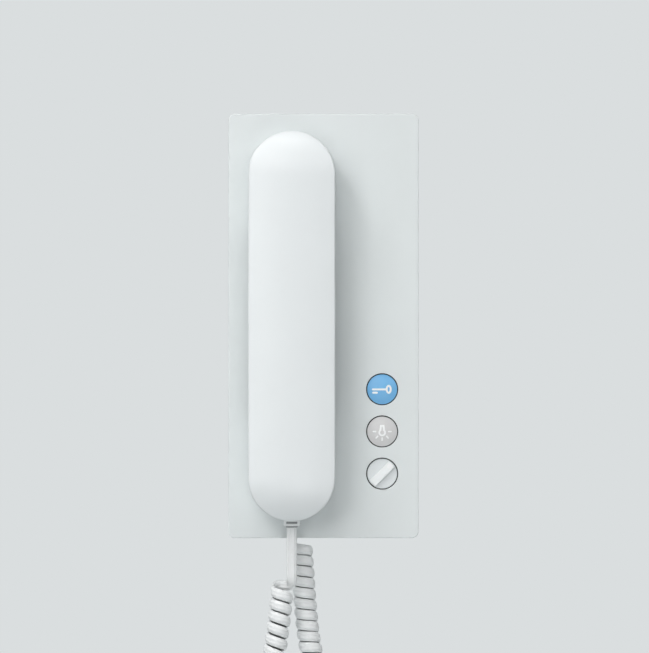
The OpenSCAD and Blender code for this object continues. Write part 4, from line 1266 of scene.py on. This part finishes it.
def make_cord_vinyl():
    """White vinyl with ridges where the wires lie, and painted shade that greys its side inside the coil,
    from the cord's map.
    """
    material = moulded("cord_vinyl", linear(248, 250, 250), 0.42, grain=0.5, relief=0.16, drift=0.03)
    tree, shader, surface, bump = opened(material)
    place = add_node(tree, "ShaderNodeUVMap", uv_map="cord_map").outputs["UV"]
    parts = add_node(tree, "ShaderNodeSeparateXYZ", {0: place}).outputs
    wires = {"Vector": place, "Scale": WIRE_RIDGES, "Distortion": 0}
    ridges = add_node(tree, "ShaderNodeTexWave", wires, bands_direction="Y").outputs["Fac"]
    feed(tree, bump, {"Height": maths(tree, "MULTIPLY_ADD", surface["Height"], GRAIN_SHARE, ridges)})
    # Painted shade: the side facing into the coil turns grey past the lead, so the gaps between turns look
    # dark
    facing_in = maths(tree, "SINE", maths(tree, "MULTIPLY", parts["Y"], 2 * math.pi))
    inward = {"Value": facing_in, "From Min": PAINTED_SHADE_SIDE, "From Max": PAINTED_SHADE_INSIDE}
    past_lead = {"Value": parts["X"], "From Min": PAINTED_SHADE_START * MM, "From Max": PAINTED_SHADE_FULL * MM}
    past_lead["To Max"] = PAINTED_SHADE_MOST
    shares = [add_node(tree, "ShaderNodeMapRange", part).outputs[0] for part in (inward, past_lead)]
    tones = {"Factor": maths(tree, "MULTIPLY", *shares)}
    tones.update({"A": surface["Colour"], "B": (*linear(112, 114, 115), 1)})
    toned = add_node(tree, "ShaderNodeMix", tones, data_type="RGBA")
    feed(tree, shader, {"Base Color": toned.outputs["Result"]})
    return material


cord_vinyl = make_cord_vinyl()


def cord_section():
    """Flat section with bulging faces and round edges, as shares of half the width and thickness."""
    points = []
    for i in range(SECTION_POINTS):
        a = 2 * math.pi * i / SECTION_POINTS
        across, thick = math.cos(a), math.sin(a)
        points.append((math.copysign(abs(across) ** (2 / FLATNESS), across),
                       math.copysign(abs(thick) ** (2 / FLATNESS), thick)))
    return points


def flat_cord(name, stops):
    """A tube with the cord's flat section swept along stops, with a map along and around it."""
    bm = bmesh.new()
    cord_map = bm.loops.layers.uv.new("cord_map")
    rings = []
    for i, (point, facing) in enumerate(stops):
        ahead = stops[min(i + 1, len(stops) - 1)][0] - stops[max(i - 1, 0)][0]
        tangent = ahead.normalized()
        flat = square_to(facing, tangent)
        side = tangent.cross(flat)
        rings.append([
            bm.verts.new((point + side * a * CORD_W / 2 + flat * b * CORD_T / 2) * MM)
            for a, b in cord_section()
        ])
    along = 0.0
    for i, (a, b) in enumerate(zip(rings, rings[1:])):
        step = (stops[i + 1][0] - stops[i][0]).length * MM
        for k in range(SECTION_POINTS):
            n = (k + 1) % SECTION_POINTS
            face = bm.faces.new((a[k], a[n], b[n], b[k]))
            round_by = (k / SECTION_POINTS, (k + 1) / SECTION_POINTS)
            corners = [(along, round_by[0]), (along, round_by[1])]
            corners += [(along + step, round_by[1]), (along + step, round_by[0])]
            for loop, corner in zip(face.loops, corners):
                loop[cord_map].uv = corner
        along += step
    bm.faces.new(rings[0])
    bm.faces.new(rings[-1])
    return solid(name, bm, cord_vinyl, sharp=70)


def length_of(stops):
    return sum((b[0] - a[0]).length for a, b in zip(stops, stops[1:])) * MM


handset_strand = flat_cord("cord_handset_strand", handset_stops)
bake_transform(handset_strand)
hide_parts("curly_cord")
length_of(handset_stops)
base_strand = flat_cord("cord_base_strand", base_stops)
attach(base_strand, "base")
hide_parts("curly_cord")
length_of(base_stops)

# Wall and floor. A plain pale painted wall that the base hangs on, open behind the base so that its back
# can be seen and lit, and a pale floor far below. The camera sees the wall as one even tone.
WALL_TONE = linear(218, 222, 223)
WALL_HALF = 2500
WALL_BEHIND = 0.05
WALL_OVERLAP = 0.2
FLOOR_UP = -900
FLOOR_OUT = 5000


def seen_directly(tree):
    """One where a ray comes from the camera, a gloss or a clear piece, and so shows the backdrop."""
    rays = add_node(tree, "ShaderNodeLightPath").outputs
    shiny = maths(tree, "MAXIMUM", rays["Is Glossy Ray"], rays["Is Transmission Ray"])
    return maths(tree, "MAXIMUM", rays["Is Camera Ray"], shiny)


def mix_shaders(tree, share, first, second):
    return add_node(tree, "ShaderNodeMixShader", {0: share, 1: first, 2: second}).outputs[0]


def make_painted_wall():
    """Paint that is lit and shaded, seen as one even tone from the front, and clear from behind."""
    material = bpy.data.materials.new("painted_wall")
    material.use_nodes = True
    tree = material.node_tree
    paint = tree.nodes["Principled BSDF"]
    feed(tree, paint, {"Base Color": (*WALL_TONE, 1), "Roughness": 0.9})
    even = add_node(tree, "ShaderNodeEmission", {"Color": (*WALL_TONE, 1)}).outputs[0]
    toned = mix_shaders(tree, seen_directly(tree), paint.outputs[0], even)
    from_behind = add_node(tree, "ShaderNodeNewGeometry").outputs["Backfacing"]
    clear = add_node(tree, "ShaderNodeBsdfTransparent").outputs[0]
    one_sided = mix_shaders(tree, from_behind, toned, clear)
    feed(tree, tree.nodes["Material Output"], {"Surface": one_sided})
    return material


painted_wall = make_painted_wall()
bm = bmesh.new()
wall_outline = level_ring(bm, rounded_rect(0, 0, 2 * WALL_HALF, 2 * WALL_HALF, 1), -WALL_BEHIND)
wall_opening = level_ring(bm, cover_outline(WALL_OVERLAP), -WALL_BEHIND)
fill(bm, wall_outline, [wall_opening])
for face in bm.faces:
    if face.normal.y > 0:
        face.normal_flip()
mesh = bpy.data.meshes.new("wall")
bm.to_mesh(mesh)
bm.free()
mesh.materials.append(painted_wall)
wall = add_object("wall", mesh)
mesh = bpy.data.meshes.new("floor")
floor_corners = [at(-WALL_HALF, FLOOR_UP, 0), at(WALL_HALF, FLOOR_UP, 0)]
floor_corners += [at(WALL_HALF, FLOOR_UP, FLOOR_OUT), at(-WALL_HALF, FLOOR_UP, FLOOR_OUT)]
mesh.from_pydata(floor_corners, [], [(3, 2, 1, 0)])
mesh.materials.append(painted_wall)
floor = add_object("floor", mesh)

# Light. Large soft panels round the front, most of them above and to the left, with even light from
# all round, and one soft panel behind the wall that lights the back of the base.
PANEL = 0.6
PANEL_OUT = 2.0
LIT_MIDDLE = Vector((0, -0.03, 0))
ROOM_LIGHT = 0.12


def panel(name, across, up, power):
    """A soft square lamp turned to the handset; angles across and up from straight in front, in watts."""
    lamp = bpy.data.lights.new(name, "AREA")
    lamp.shape = "SQUARE"
    lamp.size = PANEL
    lamp.energy = power
    stand = add_object(name, lamp)
    a, e = math.radians(across), math.radians(up)
    toward = Vector((math.sin(a) * math.cos(e), -math.cos(a) * math.cos(e), math.sin(e)))
    stand.location = toward * PANEL_OUT + LIT_MIDDLE
    stand.rotation_mode = "QUATERNION"
    stand.rotation_quaternion = (-toward).to_track_quat("-Z", "Y")
    stand.visible_camera = False


panel("key_upper_left", -40, 45, 9.5)
panel("upper_left", -24, 25, 4.3)
panel("front_left", -24, 5, 4.6)
panel("top", -8, 65, 8.3)
panel("front", -8, 25, 4.2)
panel("right_fill", 30, 25, 3.4)
panel("low_fill", 10, -20, 4.3)
panel("behind", 165, 30, 24)
scene = bpy.context.scene
scene.world = bpy.data.worlds.new("room")
scene.world.use_nodes = True
room_tree = scene.world.node_tree
room_light = room_tree.nodes["Background"]
feed(room_tree, room_light, {"Color": (1, 1, 1, 1), "Strength": ROOM_LIGHT})
room_tone = add_node(room_tree, "ShaderNodeBackground", {"Color": (*WALL_TONE, 1)})
room = mix_shaders(room_tree, seen_directly(room_tree), room_light.outputs[0], room_tone.outputs[0])
feed(room_tree, room_tree.nodes["World Output"], {"Surface": room})
scene.view_settings.view_transform = "Standard"

# Camera. A long lens square to the wall, so that neither the sides of the base nor those of the handset
# show. The picture is 649 by 653 pixels, and the base's front face is 2.11 pixels to a millimetre in it.
PICTURE = (649, 653)
PIXELS_PER_MM = 2.11
BASE_MIDDLE = (323.5, 326)
CAMERA_OUT = 4.0
SENSOR = 36.0
picture_h = max(PICTURE) / PIXELS_PER_MM * MM
lens = bpy.data.cameras.new("long_lens")
lens.sensor_width = SENSOR
lens.lens = SENSOR * (CAMERA_OUT - COVER_FRONT * MM) / picture_h
camera = add_object("long_lens", lens)
camera.location = (
    (PICTURE[0] / 2 - BASE_MIDDLE[0]) / PIXELS_PER_MM * MM,
    -CAMERA_OUT,
    -(PICTURE[1] / 2 - BASE_MIDDLE[1]) / PIXELS_PER_MM * MM,
)
camera.rotation_euler = (math.radians(90), 0, 0)
scene.camera = camera
